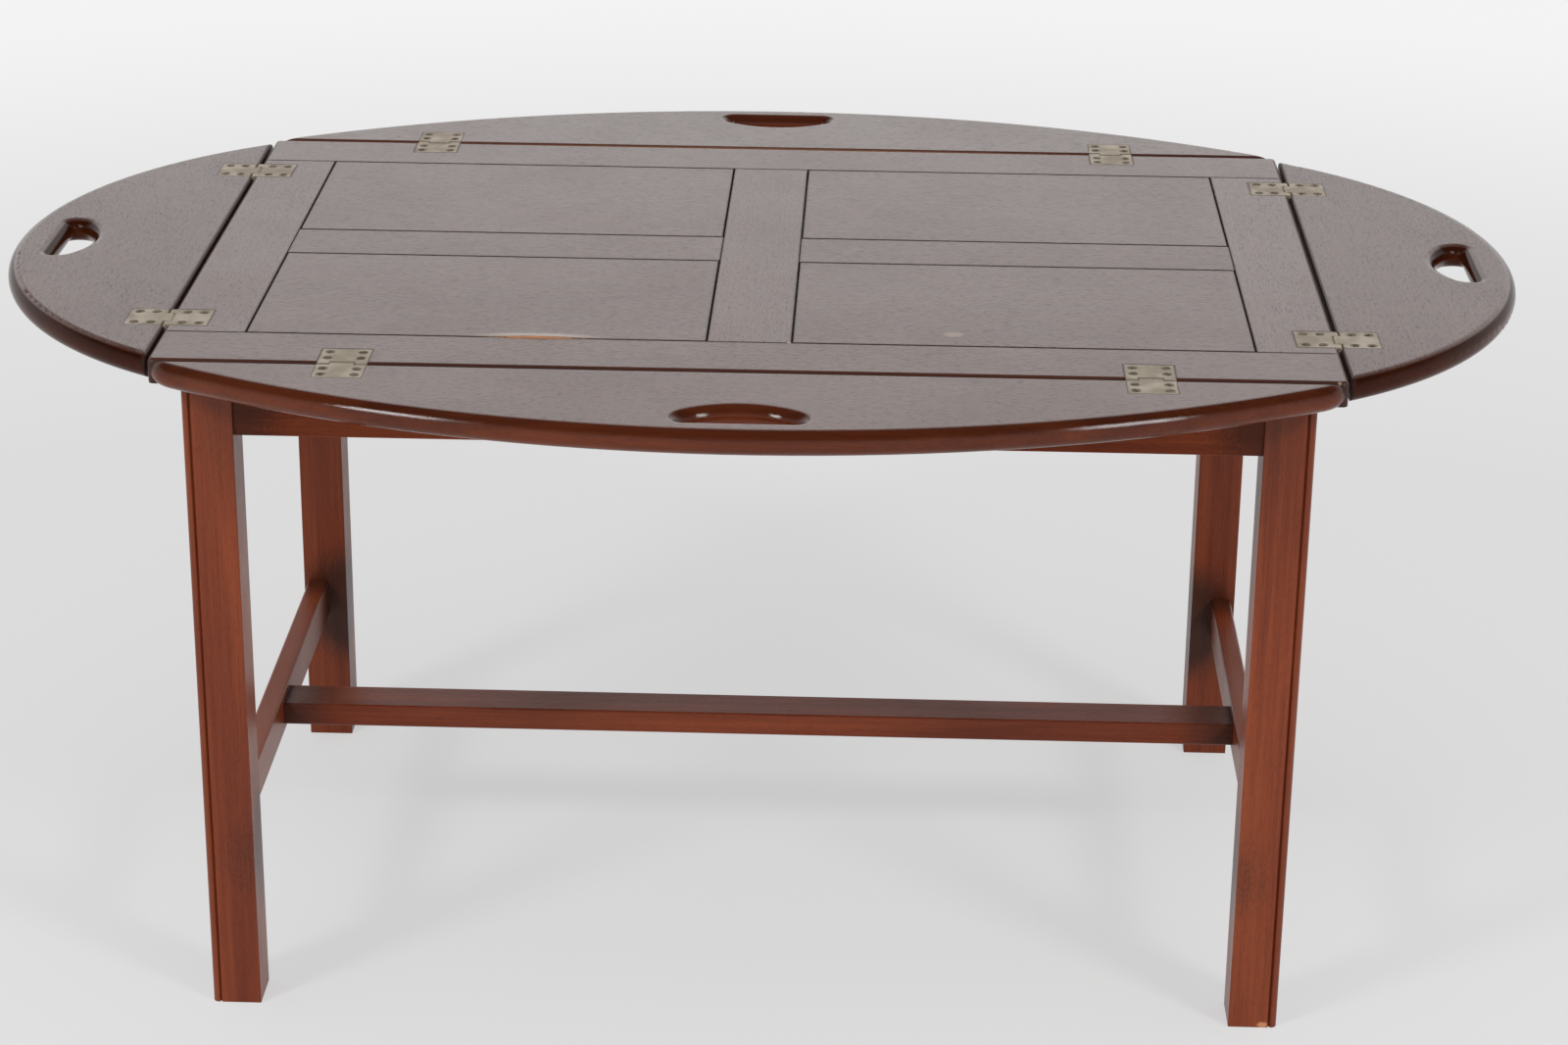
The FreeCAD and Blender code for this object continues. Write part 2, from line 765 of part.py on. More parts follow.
def stand_pieces():
    """Every piece of the stand by name."""
    leg = leg_front_left()
    front = apron_front()
    left = apron_left()
    stretcher = end_stretcher_left()
    block = corner_block_front_left()
    return {"leg_front_left": leg,
            "leg_front_right": mirrored_x(leg),
            "leg_back_left": mirrored_y(leg),
            "leg_back_right": mirrored_x(mirrored_y(leg)),
            "apron_front": front,
            "apron_back": mirrored_y(front),
            "apron_left": left,
            "apron_right": mirrored_x(left),
            "end_stretcher_left": stretcher,
            "end_stretcher_right": mirrored_x(stretcher),
            "long_stretcher": long_stretcher(),
            "corner_block_front_left": block,
            "corner_block_front_right": mirrored_x(block),
            "corner_block_back_left": mirrored_y(block),
            "corner_block_back_right": mirrored_x(mirrored_y(block))}


def tray_pieces():
    """Every wooden piece of the tray, and the screws of its battens, by name."""
    rail = tray_rail_front()
    stile = tray_stile_left().cut(batten_screws_left(screw_clearance))
    mid_rail = tray_mid_rail_left()
    panel = tray_panel_front_left()
    batten = tray_batten_left()
    screws = batten_screws_left(0)
    return {"tray_rail_front": rail,
            "tray_rail_back": mirrored_y(rail),
            "tray_stile_left": stile,
            "tray_stile_right": mirrored_x(stile),
            "tray_centre_stile": tray_centre_stile(),
            "tray_mid_rail_left": mid_rail,
            "tray_mid_rail_right": mirrored_x(mid_rail),
            "tray_panel_front_left": panel,
            "tray_panel_front_right": mirrored_x(panel),
            "tray_panel_back_left": mirrored_y(panel),
            "tray_panel_back_right": mirrored_x(mirrored_y(panel)),
            "tray_batten_left": batten,
            "tray_batten_right": mirrored_x(batten),
            "batten_screws": Part.makeCompound(screws + [mirrored_x(screw) for screw in screws])}


def hinge_pieces():
    """Every piece of the eight hinges by name, with pins, springs and screws in groups."""
    pieces = {}
    pins = []
    springs = []
    tray_screws = []
    leaf_screws = {"front": [], "back": [], "left": [], "right": []}
    for name, leaf, turn, distance, along in hinge_sites():
        site = (turn, distance, along)
        pieces["hinge_" + name + "_tray_plate"] = on_side(tray_plate(), *site)
        pieces["hinge_" + name + "_leaf_plate"] = on_side(leaf_plate(), *site)
        pins.append(on_side(hinge_pin(), *site))
        springs.append(on_side(hinge_spring(), *site))
        tray_screws += [on_side(screw, *site) for screw in plate_screws(-1)]
        leaf_screws[leaf] += [on_side(screw, *site) for screw in plate_screws(1)]
    pieces["hinge_pins"] = Part.makeCompound(pins)
    pieces["hinge_springs"] = Part.makeCompound(springs)
    pieces["tray_hinge_screws"] = Part.makeCompound(tray_screws)
    for leaf, screws in leaf_screws.items():
        pieces["leaf_" + leaf + "_screws"] = Part.makeCompound(screws)
    return pieces


def leaf_pieces():
    """The four leaves by name."""
    side = side_leaf()
    end = end_leaf()
    return {"leaf_front": on_side(side, front_turn, axis_y, 0),
            "leaf_back": on_side(side, back_turn, axis_y, 0),
            "leaf_left": on_side(end, left_turn, axis_x, 0),
            "leaf_right": on_side(end, right_turn, axis_x, 0)}


def main():
    """Make every piece and write one file for each."""
    os.makedirs("parts", exist_ok=True)
    pieces = {**stand_pieces(), **tray_pieces(), **leaf_pieces(), **hinge_pieces()}
    for name, shape in pieces.items():
        shape.exportStep(os.path.join("parts", name + ".step"))


main()
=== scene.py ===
"""Looks of a mahogany tray table: its finishes, hinge screws, a worn panel and the studio round it."""

import math
from collections import namedtuple

import bmesh
import bpy
from bpy.props import FloatProperty, FloatVectorProperty, IntProperty, PointerProperty
from mathutils import Euler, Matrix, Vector


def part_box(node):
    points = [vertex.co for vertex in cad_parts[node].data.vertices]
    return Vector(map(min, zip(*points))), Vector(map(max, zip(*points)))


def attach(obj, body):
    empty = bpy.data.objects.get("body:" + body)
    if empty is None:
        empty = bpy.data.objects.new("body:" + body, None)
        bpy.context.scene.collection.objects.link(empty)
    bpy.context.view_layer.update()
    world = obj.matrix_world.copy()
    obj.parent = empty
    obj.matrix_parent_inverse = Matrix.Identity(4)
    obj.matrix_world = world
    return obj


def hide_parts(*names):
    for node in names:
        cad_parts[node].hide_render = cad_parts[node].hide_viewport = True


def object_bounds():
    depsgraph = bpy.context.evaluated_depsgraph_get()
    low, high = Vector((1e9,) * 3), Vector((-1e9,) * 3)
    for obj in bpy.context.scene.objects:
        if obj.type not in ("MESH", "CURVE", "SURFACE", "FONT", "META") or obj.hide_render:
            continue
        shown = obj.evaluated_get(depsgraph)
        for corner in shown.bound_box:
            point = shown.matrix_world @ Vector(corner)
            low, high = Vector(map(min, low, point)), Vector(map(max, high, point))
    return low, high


bl_info = {
    "name": "Tray Table",
    "version": (1, 0, 0),
    "blender": (4, 5, 0),
    "location": "View3D > Sidebar > Tray Table",
    "description": "Finishes, hinge screws, a worn panel and a studio for a folding tray table",
    "category": "Object",
}

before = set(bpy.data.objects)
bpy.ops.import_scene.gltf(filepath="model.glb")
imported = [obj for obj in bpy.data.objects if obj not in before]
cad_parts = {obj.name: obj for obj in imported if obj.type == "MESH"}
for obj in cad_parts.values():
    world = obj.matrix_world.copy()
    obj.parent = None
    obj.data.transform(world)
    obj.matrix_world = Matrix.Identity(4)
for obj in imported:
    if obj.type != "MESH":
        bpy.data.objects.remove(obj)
cad_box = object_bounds()

# A mark of use or of toner on a piece: its middle, its half sizes, its colour and how strong and ragged it is
Mark = namedtuple("Mark", "place size tone strength ragged")


# Settings

def colour_setting(name, description, default):
    """A colour that a user can change."""
    return FloatVectorProperty(name=name, description=description, default=default, size=3,
                               min=0.0, max=1.0, subtype="COLOR")


def share_setting(name, description, default):
    """A share from 0 to 1 that a user can change."""
    return FloatProperty(name=name, description=description, default=default, min=0.0, max=1.0,
                         subtype="FACTOR")


def length_setting(name, description, default):
    """A length in metres that a user can change."""
    return FloatProperty(name=name, description=description, default=default, precision=5,
                         unit="LENGTH", subtype="DISTANCE")


class TrayTableWood(bpy.types.PropertyGroup):
    """Colours and gloss of the wood."""

    stand_pale: colour_setting("Stand pale", "Paler streaks of the stand", (0.242, 0.050, 0.0145))
    stand_dark: colour_setting("Stand dark", "Darker streaks of the stand", (0.134, 0.0225, 0.0065))
    top_pale: colour_setting("Top pale", "Paler streaks of the tray and leaves", (0.125, 0.0255, 0.007))
    top_dark: colour_setting("Top dark", "Darker streaks of the tray and leaves", (0.068, 0.0128, 0.0037))
    # Colour of the flat upper faces: wear, greyed as a painted sheen; the back leaf's is paler still
    worn_and_sheen: colour_setting("Worn top", "Dulled colour of the flat upper faces", (0.098, 0.0355, 0.0235))
    faded_and_sheen: colour_setting("Faded leaf", "Paler colour of the back leaf", (0.122, 0.064, 0.050))
    bare: colour_setting("Bare wood", "Wood where the finish has chipped off", (0.52, 0.24, 0.11))
    # Pale scuffs, and the painted highlight on the lifted panel's edge
    scuff_and_highlight: colour_setting("Scuff", "Pale scuff on a panel", (0.50, 0.36, 0.26))
    bruise: colour_setting("Bruise", "Dark dents", (0.03, 0.012, 0.008))
    # Seam colour: dirt, and painted shade deep in the seams and gaps of the top
    seam: colour_setting("Seam", "Dirt in the seams and the gaps of the top", (0.016, 0.0075, 0.005))
    # Toner at the joints of the stand, also used as painted shade at the top of each leg
    toner_and_shade: colour_setting("Toner", "Dark shading at the joints of the stand", (0.035, 0.013, 0.008))
    under: colour_setting("Underside", "Unfinished wood out of sight", (0.23, 0.095, 0.042))
    worn_and_sheen_share: share_setting("Worn share", "How far the flat upper faces are dulled", 0.75)
    # End leaves' colours made darker: painted shade on the rims that face left and right
    end_rim_shade: share_setting("End rims", "Brightness of the left and right rims beside the front one", 0.42)
    # Shares of the darkening of the seams and of the tray's outer gap: dirt and painted shade
    seam_dirt_and_shade_share: share_setting("Seam share", "How far the seams of the top have darkened", 0.85)
    gap_dirt_and_shade_share: share_setting("Gap share", "How far the tray's outer edges have darkened", 0.8)
    stand_roughness: share_setting("Stand roughness", "Roughness of the stand's finish", 0.30)
    top_roughness: share_setting("Top roughness", "Roughness of the rims and hand holes", 0.06)
    worn_roughness: share_setting("Worn roughness", "Roughness of the flat upper faces", 0.40)
    rim_coat: share_setting("Rim coat", "Weight of the lacquer on rims and hand holes", 0.0)
    arris_coat: share_setting("Arris coat", "Lacquer left on the rounded edges beside the gaps", 0.35)
    top_coat: share_setting("Top coat", "Weight of the lacquer on the flat upper faces", 1.0)
    stand_shine: share_setting("Stand shine", "Strength of the legs' and stretchers' reflections", 0.26)
    apron_shine: share_setting("Apron shine", "Strength of the aprons' reflections", 0.10)
    top_shine: share_setting("Top shine", "Strength of the top's reflections", 0.26)
    end_shine: share_setting("End shine", "Strength of the left and right leaves' reflections", 0.09)
    pore_depth: length_setting("Pore depth", "Depth of the open pores", 0.00012)
    edge_width: length_setting("Edge width", "Width of the rubbed edges of the stand", 0.0008)
    seam_width: length_setting("Seam width", "Width of the softened edges at the seams of the top", 0.0028)


class TrayTableMetal(bpy.types.PropertyGroup):
    """Colours and gloss of the hinges and screws."""

    plate: colour_setting("Plate", "Rubbed nickel of the hinge plates", (0.62, 0.53, 0.42))
    tarnish: colour_setting("Tarnish", "Dull patches on the plates", (0.53, 0.445, 0.345))
    screw: colour_setting("Screw", "Browned heads of the hinge screws", (0.30, 0.225, 0.155))
    screw_tarnish: colour_setting("Screw tarnish", "Dirt on the hinge screws", (0.15, 0.105, 0.07))
    steel: colour_setting("Steel", "Springs and batten screws", (0.42, 0.41, 0.39))
    steel_tarnish: colour_setting("Steel tarnish", "Dull steel", (0.20, 0.185, 0.165))
    # Edges of the plates and screws are darkened: grime, and painted shade in the gaps round them
    plate_edge: length_setting("Plate edge", "Width of the grime round a plate", 0.0020)
    screw_edge: length_setting("Screw edge", "Width of the grime round a screw's head and slot", 0.00035)
    plate_roughness: share_setting("Plate roughness", "Roughness of the plates", 0.44)
    screw_roughness: share_setting("Screw roughness", "Roughness of the screws", 0.46)


class TrayTableScrews(bpy.types.PropertyGroup):
    """Sizes of the slotted hinge screws."""

    head_radius: length_setting("Head radius", "Radius of the countersunk head", 0.003)
    head_depth: length_setting("Head depth", "Depth of the countersunk head", 0.0017)
    rim: length_setting("Rim", "Bevel round the head", 0.00022)
    shank_radius: length_setting("Shank radius", "Radius of the shank", 0.00145)
    length: length_setting("Length", "Whole length of a screw", 0.0125)
    slot_width: length_setting("Slot width", "Width of the slot", 0.0008)
    slot_depth: length_setting("Slot depth", "Depth of the slot", 0.0007)
    sink: length_setting("Sink", "How far a head may lie below its plate", 0.00015)
    tilt: FloatProperty(name="Tilt", description="How far a head may lean", default=math.radians(1.2),
                        unit="ROTATION", subtype="ANGLE")
    sides: IntProperty(name="Sides", description="Sides of a round head", default=24, min=8, max=64)
    seed: IntProperty(name="Seed", description="Seed for the way the slots point", default=7, min=0)


class TrayTablePanel(bpy.types.PropertyGroup):
    """The front left panel, whose front edge has lifted a little."""

    tongue: length_setting("Tongue", "How far the tongue stands out beyond the face board", 0.0071)
    face: length_setting("Face", "Thickness of the face board", 0.006)
    bevel: length_setting("Bevel", "Bevel round the face board", 0.0005)
    lift: length_setting("Lift", "How far the edge has lifted", 0.0012)
    lift_x: length_setting("Lift place", "Middle of the lifted stretch", -0.141)
    lift_span: length_setting("Lift span", "Length of the lifted stretch", 0.088)
    lift_reach: length_setting("Lift reach", "How far in from the edge the face lifts", 0.012)
    cell: length_setting("Cell", "Size of the mesh's cells", 0.004)


class TrayTableStage(bpy.types.PropertyGroup):
    """Camera, lights and floor."""

    lens: FloatProperty(name="Lens", description="Focal length", default=83.26, unit="CAMERA")
    eye: FloatVectorProperty(name="Eye", description="Place of the camera",
                             default=(0.09088, -2.48388, 1.27268), subtype="TRANSLATION")
    turn: FloatVectorProperty(name="Turn", description="Turn of the camera", subtype="EULER",
                              default=[math.radians(angle) for angle in (68.177, -0.5475, 1.8888)])
    floor: share_setting("Floor", "Reflectance of the floor", 0.90)
    floor_glow: share_setting("Floor glow", "How white the floor looks under the table", 0.74)
    floor_tone: share_setting("Floor tone", "Brightness of the floor near the table", 0.70)
    backdrop: share_setting("Backdrop", "Brightness of the white background", 0.90)
    ceiling: share_setting("Ceiling", "Brightness of the room above", 0.10)
    fill_high: share_setting("Fill above", "Brightness of the soft light from above", 0.90)
    fill_low: share_setting("Fill around", "Brightness of the soft light from the sides", 0.16)
    power: FloatProperty(name="Power", description="Power of each soft light", default=54.0, min=0.0,
                         unit="POWER")
    light_size: length_setting("Light size", "Side of each soft light", 0.70)
    light_place: FloatVectorProperty(name="Light place", description="Place of the soft light on the right",
                                     default=(2.35, -2.3, 2.6), subtype="TRANSLATION")


# Helpers

def rgba(colour):
    """A colour with full opacity."""
    return (*colour, 1.0)


def grey(level):
    """A grey of one brightness."""
    return rgba([level] * 3)


def shaded(colour, share):
    """A colour made darker."""
    return [part * share for part in colour]


def add_object(context, name, data):
    """A new object in the scene."""
    made = bpy.data.objects.new(name, data)
    context.collection.objects.link(made)
    return made


class Graph:
    """A node tree with short calls that add and join nodes."""

    def __init__(self, tree):
        self.tree = tree

    def node(self, kind, inputs=None, **settings):
        """A new node with its settings and its inputs, each a value or a socket."""
        made = self.tree.nodes.new(kind)
        for key, value in settings.items():
            setattr(made, key, value)
        self.fill(made, inputs or {})
        return made

    def fill(self, node, inputs):
        """Give each input of a node its value, or join it to another node's output."""
        for key, value in inputs.items():
            if isinstance(value, bpy.types.NodeSocket):
                self.tree.links.new(value, node.inputs[key])
            else:
                node.inputs[key].default_value = value

    def out(self, kind, inputs=None, **settings):
        """The first output of a new node."""
        return self.node(kind, inputs, **settings).outputs[0]

    def sum(self, operation, a, b=0.0):
        """One step of arithmetic on two numbers."""
        return self.out("ShaderNodeMath", {0: a, 1: b}, operation=operation)

    def plus(self, a, b):
        """One number added to another."""
        return self.sum("ADD", a, b)

    def minus(self, a, b):
        """One number taken from another."""
        return self.sum("SUBTRACT", a, b)

    def times(self, a, b):
        """One number times another."""
        return self.sum("MULTIPLY", a, b)

    def most(self, a, b):
        """The greater of two numbers."""
        return self.sum("MAXIMUM", a, b)

    def step(self, value, low, high, start=0.0, end=1.0):
        """A smooth step from start to end as value goes from low to high."""
        return self.out("ShaderNodeMapRange", {0: value, 1: low, 2: high, 3: start, 4: end},
                        interpolation_type="SMOOTHSTEP")

    def tint(self, share, first, second, blend_type="MIX"):
        """A blend of two colours."""
        made = self.node("ShaderNodeMix", {0: share, 6: first, 7: second}, data_type="RGBA",
                         blend_type=blend_type)
        return made.outputs[2]

    def shared(self, name, make, inputs):
        """The outputs of a shared node group, which is made the first time it is asked for."""
        tree = bpy.data.node_groups.get(name) or make(name)
        return self.node("ShaderNodeGroup", inputs, node_tree=tree).outputs


def new_group(name, kind, inputs, outputs):
    """A node group with named inputs and outputs: its graph, what it is given and its last node."""
    tree = bpy.data.node_groups.new(name, kind)
    for label, holds, default in inputs:
        socket = tree.interface.new_socket(label, in_out="INPUT", socket_type="NodeSocket" + holds)
        if default is not None:
            socket.default_value = default
    for label, holds in outputs:
        tree.interface.new_socket(label, in_out="OUTPUT", socket_type="NodeSocket" + holds)
    graph = Graph(tree)
    return graph, graph.node("NodeGroupInput").outputs, graph.node("NodeGroupOutput")


# Shared effects

# Streaks of the grain: scale along it, scale across it, detail and bend
FIGURE = (2.4, 24.0, 3.0, 0.5)
RIBBON = (1.2, 120.0, 2.0, 0.0)
FIBRE = (16.0, 900.0, 3.0, 0.0)
FINE_PORES = (190.0, 1300.0, 1.0, 0.0)
COARSE_PORES = (140.0, 640.0, 1.0, 0.0)
STREAK_ROUGHNESS = 0.55

# How much each kind of streak counts in the colour, and the fibres in the relief
FIGURE_SHARE = 0.5
RIBBON_SHARE = 0.25
FIBRE_SHARE = 0.25
FIBRE_RELIEF_SHARE = 0.3

# Smooth steps: where one starts and ends, then its values there if they aren't 0 and 1
FINE_PORE_STEP = (0.56, 0.70)
COARSE_PORE_STEP = (0.53, 0.76, 0.0, 0.85)
TONE_STEP = (0.36, 0.64)
PATCH_STEP = (0.36, 0.66)
EDGE_STEP = (0.99, 0.82)
MARK_STEP = (1.0, 0.45)

PATCH_DETAIL = 5.0
PATCH_ROUGHNESS = 0.6
EDGE_SAMPLES = 4
MARK_NOISE_SCALE = 420.0
MARK_NOISE_DETAIL = 3.0


def make_grain(name):
    """Mahogany with its grain along X: broad figure, fine fibres and short dark pores."""
    graph, given, result = new_group(
        name, "ShaderNodeTree",
        [("Vector", "Vector", None), ("Pale", "Color", (0.2, 0.05, 0.02, 1.0)),
         ("Dark", "Color", (0.1, 0.02, 0.01, 1.0))],
        [("Colour", "Color"), ("Pores", "Float"), ("Streaks", "Float"), ("Height", "Float")])

    def streaks(along, across, detail, bend):
        drawn = graph.out("ShaderNodeMapping", {"Vector": given["Vector"], "Scale": (along, across, across)})
        return graph.out("ShaderNodeTexNoise", {"Vector": drawn, "Scale": 1.0, "Detail": detail,
                                                "Roughness": STREAK_ROUGHNESS, "Distortion": bend})

    fibre = streaks(*FIBRE)
    fine = graph.step(streaks(*FINE_PORES), *FINE_PORE_STEP)
    coarse = graph.step(streaks(*COARSE_PORES), *COARSE_PORE_STEP)
    pores = graph.most(fine, coarse)
    broad = graph.plus(graph.times(streaks(*FIGURE), FIGURE_SHARE), graph.times(streaks(*RIBBON), RIBBON_SHARE))
    tone = graph.plus(broad, graph.times(fibre, FIBRE_SHARE))
    colour = graph.tint(graph.step(tone, *TONE_STEP), given["Dark"], given["Pale"])
    height = graph.minus(graph.times(fibre, FIBRE_RELIEF_SHARE), pores)
    graph.fill(result, {"Colour": colour, "Pores": pores, "Streaks": fibre, "Height": height})
    return graph.tree


def make_clouds(name):
    """Soft uneven patches, as of handling, polish and tarnish."""
    graph, given, result = new_group(
        name, "ShaderNodeTree", [("Vector", "Vector", None), ("Scale", "Float", 12.0)], [("Mask", "Float")])
    noise = graph.out("ShaderNodeTexNoise", {"Vector": given["Vector"], "Scale": given["Scale"],
                                             "Detail": PATCH_DETAIL, "Roughness": PATCH_ROUGHNESS})
    graph.fill(result, {"Mask": graph.step(noise, *PATCH_STEP)})
    return graph.tree


def make_edges(name):
    """Sharp edges: a mask along them, and a normal that rounds them."""
    graph, given, result = new_group(
        name, "ShaderNodeTree", [("Width", "Float", 0.001)], [("Mask", "Float"), ("Normal", "Vector")])
    rounded = graph.out("ShaderNodeBevel", {"Radius": given["Width"]}, samples=EDGE_SAMPLES)
    flat = graph.node("ShaderNodeNewGeometry").outputs["Normal"]
    along = graph.node("ShaderNodeVectorMath", {0: rounded, 1: flat}, operation="DOT_PRODUCT")
    graph.fill(result, {"Mask": graph.step(along.outputs["Value"], *EDGE_STEP), "Normal": rounded})
    return graph.tree


def make_mark(name):
    """One small mark with a ragged outline, at a place on a piece."""
    graph, given, result = new_group(
        name, "ShaderNodeTree",
        [("Vector", "Vector", None), ("Place", "Vector", (0.0, 0.0, 0.0)),
         ("Size", "Vector", (0.01, 0.01, 0.01)), ("Ragged", "Float", 0.5)],
        [("Mask", "Float")])

    def vector(operation, *values):
        return graph.node("ShaderNodeVectorMath", dict(enumerate(values)), operation=operation).outputs

    away = vector("SUBTRACT", given["Vector"], given["Place"])[0]
    reach = vector("LENGTH", vector("DIVIDE", away, given["Size"])[0])["Value"]
    noise = graph.out("ShaderNodeTexNoise", {"Vector": given["Vector"], "Scale": MARK_NOISE_SCALE,
                                             "Detail": MARK_NOISE_DETAIL})
    uneven = graph.times(graph.minus(noise, 0.5), given["Ragged"])
    graph.fill(result, {"Mask": graph.step(graph.plus(reach, uneven), *MARK_STEP)})
    return graph.tree


# Materials

GRAIN_TURN = {"X": (0.0, 0.0, 0.0), "Y": (0.0, 0.0, -math.pi / 2), "Z": (0.0, math.pi / 2, 0.0)}
GRAIN_SPACING = (0.37, 0.113, 0.071)

# Upward part of the normal where a rim ends and the flat face begins, and the same on the end leaves
FLAT_STEP = (0.970, 0.992)
END_FLAT_STEP = (0.80, 0.97)

# Upward part of the normal on steep faces, above the underside, deep in a gap and on an arris beside it
STEEP_STEP = (0.93, 0.80)
ABOVE_STEP = (-0.6, -0.2)
DEEP_STEP = (0.75, 0.45)
ARRIS_STEP = (0.35, 0.75)

# Metres from the edge at a gap: the reach of its dirt and painted shade, of its arris, and where the other
# seams begin
GAP_REACH = (0.0036, 0.0024)
ARRIS_REACH = (0.0036, 0.0030)
SEAM_REACH = (0.0030, 0.0040)

# Seams that run along X are drawn wider: how far the rounded normal leans there
LONG_SEAM_LEAN = (0.10, 0.34)
SEAM_EDGE_SHARE = 0.9

# Wood: patches of wear, rubbed edges, and what is left of the pores on rims and on the stand
WOOD_PATCH_SCALE = 9.0
PATCH_DULLING = 0.08
PATCH_WEAR = 0.08
RUBBED_STEP = (0.35, 0.95, 0.03, 0.25)
RUBBED_BARE_SHARE = 0.35
STAND_PORE_SHARE = 0.25
RIM_PORE_SHARE = 0.1
RIM_RELIEF_SHARE = 0.12
# Colour of the top's pieces times 1.05 on faces turned down to 0.52 on faces turned up: painted shade on the
# upper side of rims and hand holes, painted floor light on their lower side
RIM_SHADE_STEP = (-0.1, 0.75, 1.05, 0.52)
WORN_STREAK_STEP = (0.3, 0.7, 0.75, 1.25)
PORE_TINT = (0.34, 0.29, 0.27, 1.0)
PORE_BUMP = 0.6

# Lacquer of the flat upper faces, and what is left of it over pores and over the seams' dirt and painted shade
COAT_ROUGHNESS = 0.25
COAT_IOR = 1.8
PORE_COAT_SHARE = 0.7
DIRT_AND_SHADE_COAT_SHARE = 0.05

# Unfinished wood out of sight
UNDER_DARK_SHARE = 0.7
UNDER_ROUGHNESS = 0.6

# Metal: scratches, grime and painted shade along the edges, and how far patches and scratches dull it
SCRATCH_TURN = (0.0, 0.0, 0.6)
SCRATCH_SCALE = (180.0, 3200.0, 3200.0)
SCRATCH_DETAIL = 2.0
SCRATCH_DEPTH = 0.00004
SCRATCH_BUMP = 0.25
SCRATCH_DULLING = 0.12
TARNISH_DULLING = 0.16
POLISH_GAIN = 0.1
GRIME_AND_SHADE_STEP = (0.0, 0.6, 0.0, 0.85)
GRIME_AND_SHADE_SHARE = 0.25


def new_material(name):
    """A material, its graph and its shader."""
    material = bpy.data.materials.new(name)
    material.use_nodes = True
    return material, Graph(material.node_tree), material.node_tree.nodes["Principled BSDF"]


def patches(graph, place, scale):
    """The mask of soft patches of one scale."""
    return graph.shared("soft_patches", make_clouds, {"Vector": place, "Scale": scale})["Mask"]


def soft_edges(graph, width):
    """The mask and the rounded normal along the edges of a piece."""
    return graph.shared("rubbed_edges", make_edges, {"Width": width})


def parts_of(graph, vector):
    """The three parts of a vector."""
    return graph.node("ShaderNodeSeparateXYZ", {0: vector}).outputs


def gap_masks(graph, wood, place, upward, edges, seam):
    """Masks of the dirt and painted shade in the seams and gaps of a piece of the top, and of the arris beside
    a gap.
    """
    spot = parts_of(graph, place)
    if seam:
        axis, level, share = seam
        off = graph.sum("ABSOLUTE", graph.minus(spot[axis], level))
    else:
        share = wood.gap_dirt_and_shade_share
        half_length, half_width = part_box("tray_rail_back")[1][:2]
        off = graph.sum("MINIMUM", graph.minus(half_length, graph.sum("ABSOLUTE", spot[0])),
                        graph.minus(half_width, graph.sum("ABSOLUTE", spot[1])))
    steep = graph.times(graph.step(upward, *STEEP_STEP), graph.step(upward, *ABOVE_STEP))
    deep = graph.times(steep, graph.step(upward, *DEEP_STEP))
    dirt_and_shade = graph.times(deep, graph.step(off, *GAP_REACH, 0.0, share))
    arris = graph.times(graph.step(off, *ARRIS_REACH), graph.step(upward, *ARRIS_STEP))
    if not seam:
        lean = graph.sum("ABSOLUTE", parts_of(graph, edges["Normal"])[1])
        lines = graph.most(graph.times(edges["Mask"], SEAM_EDGE_SHARE), graph.step(lean, *LONG_SEAM_LEAN))
        seams = graph.times(graph.most(steep, lines), graph.step(off, *SEAM_REACH))
        dirt_and_shade = graph.most(dirt_and_shade, seams)
    return dirt_and_shade, arris


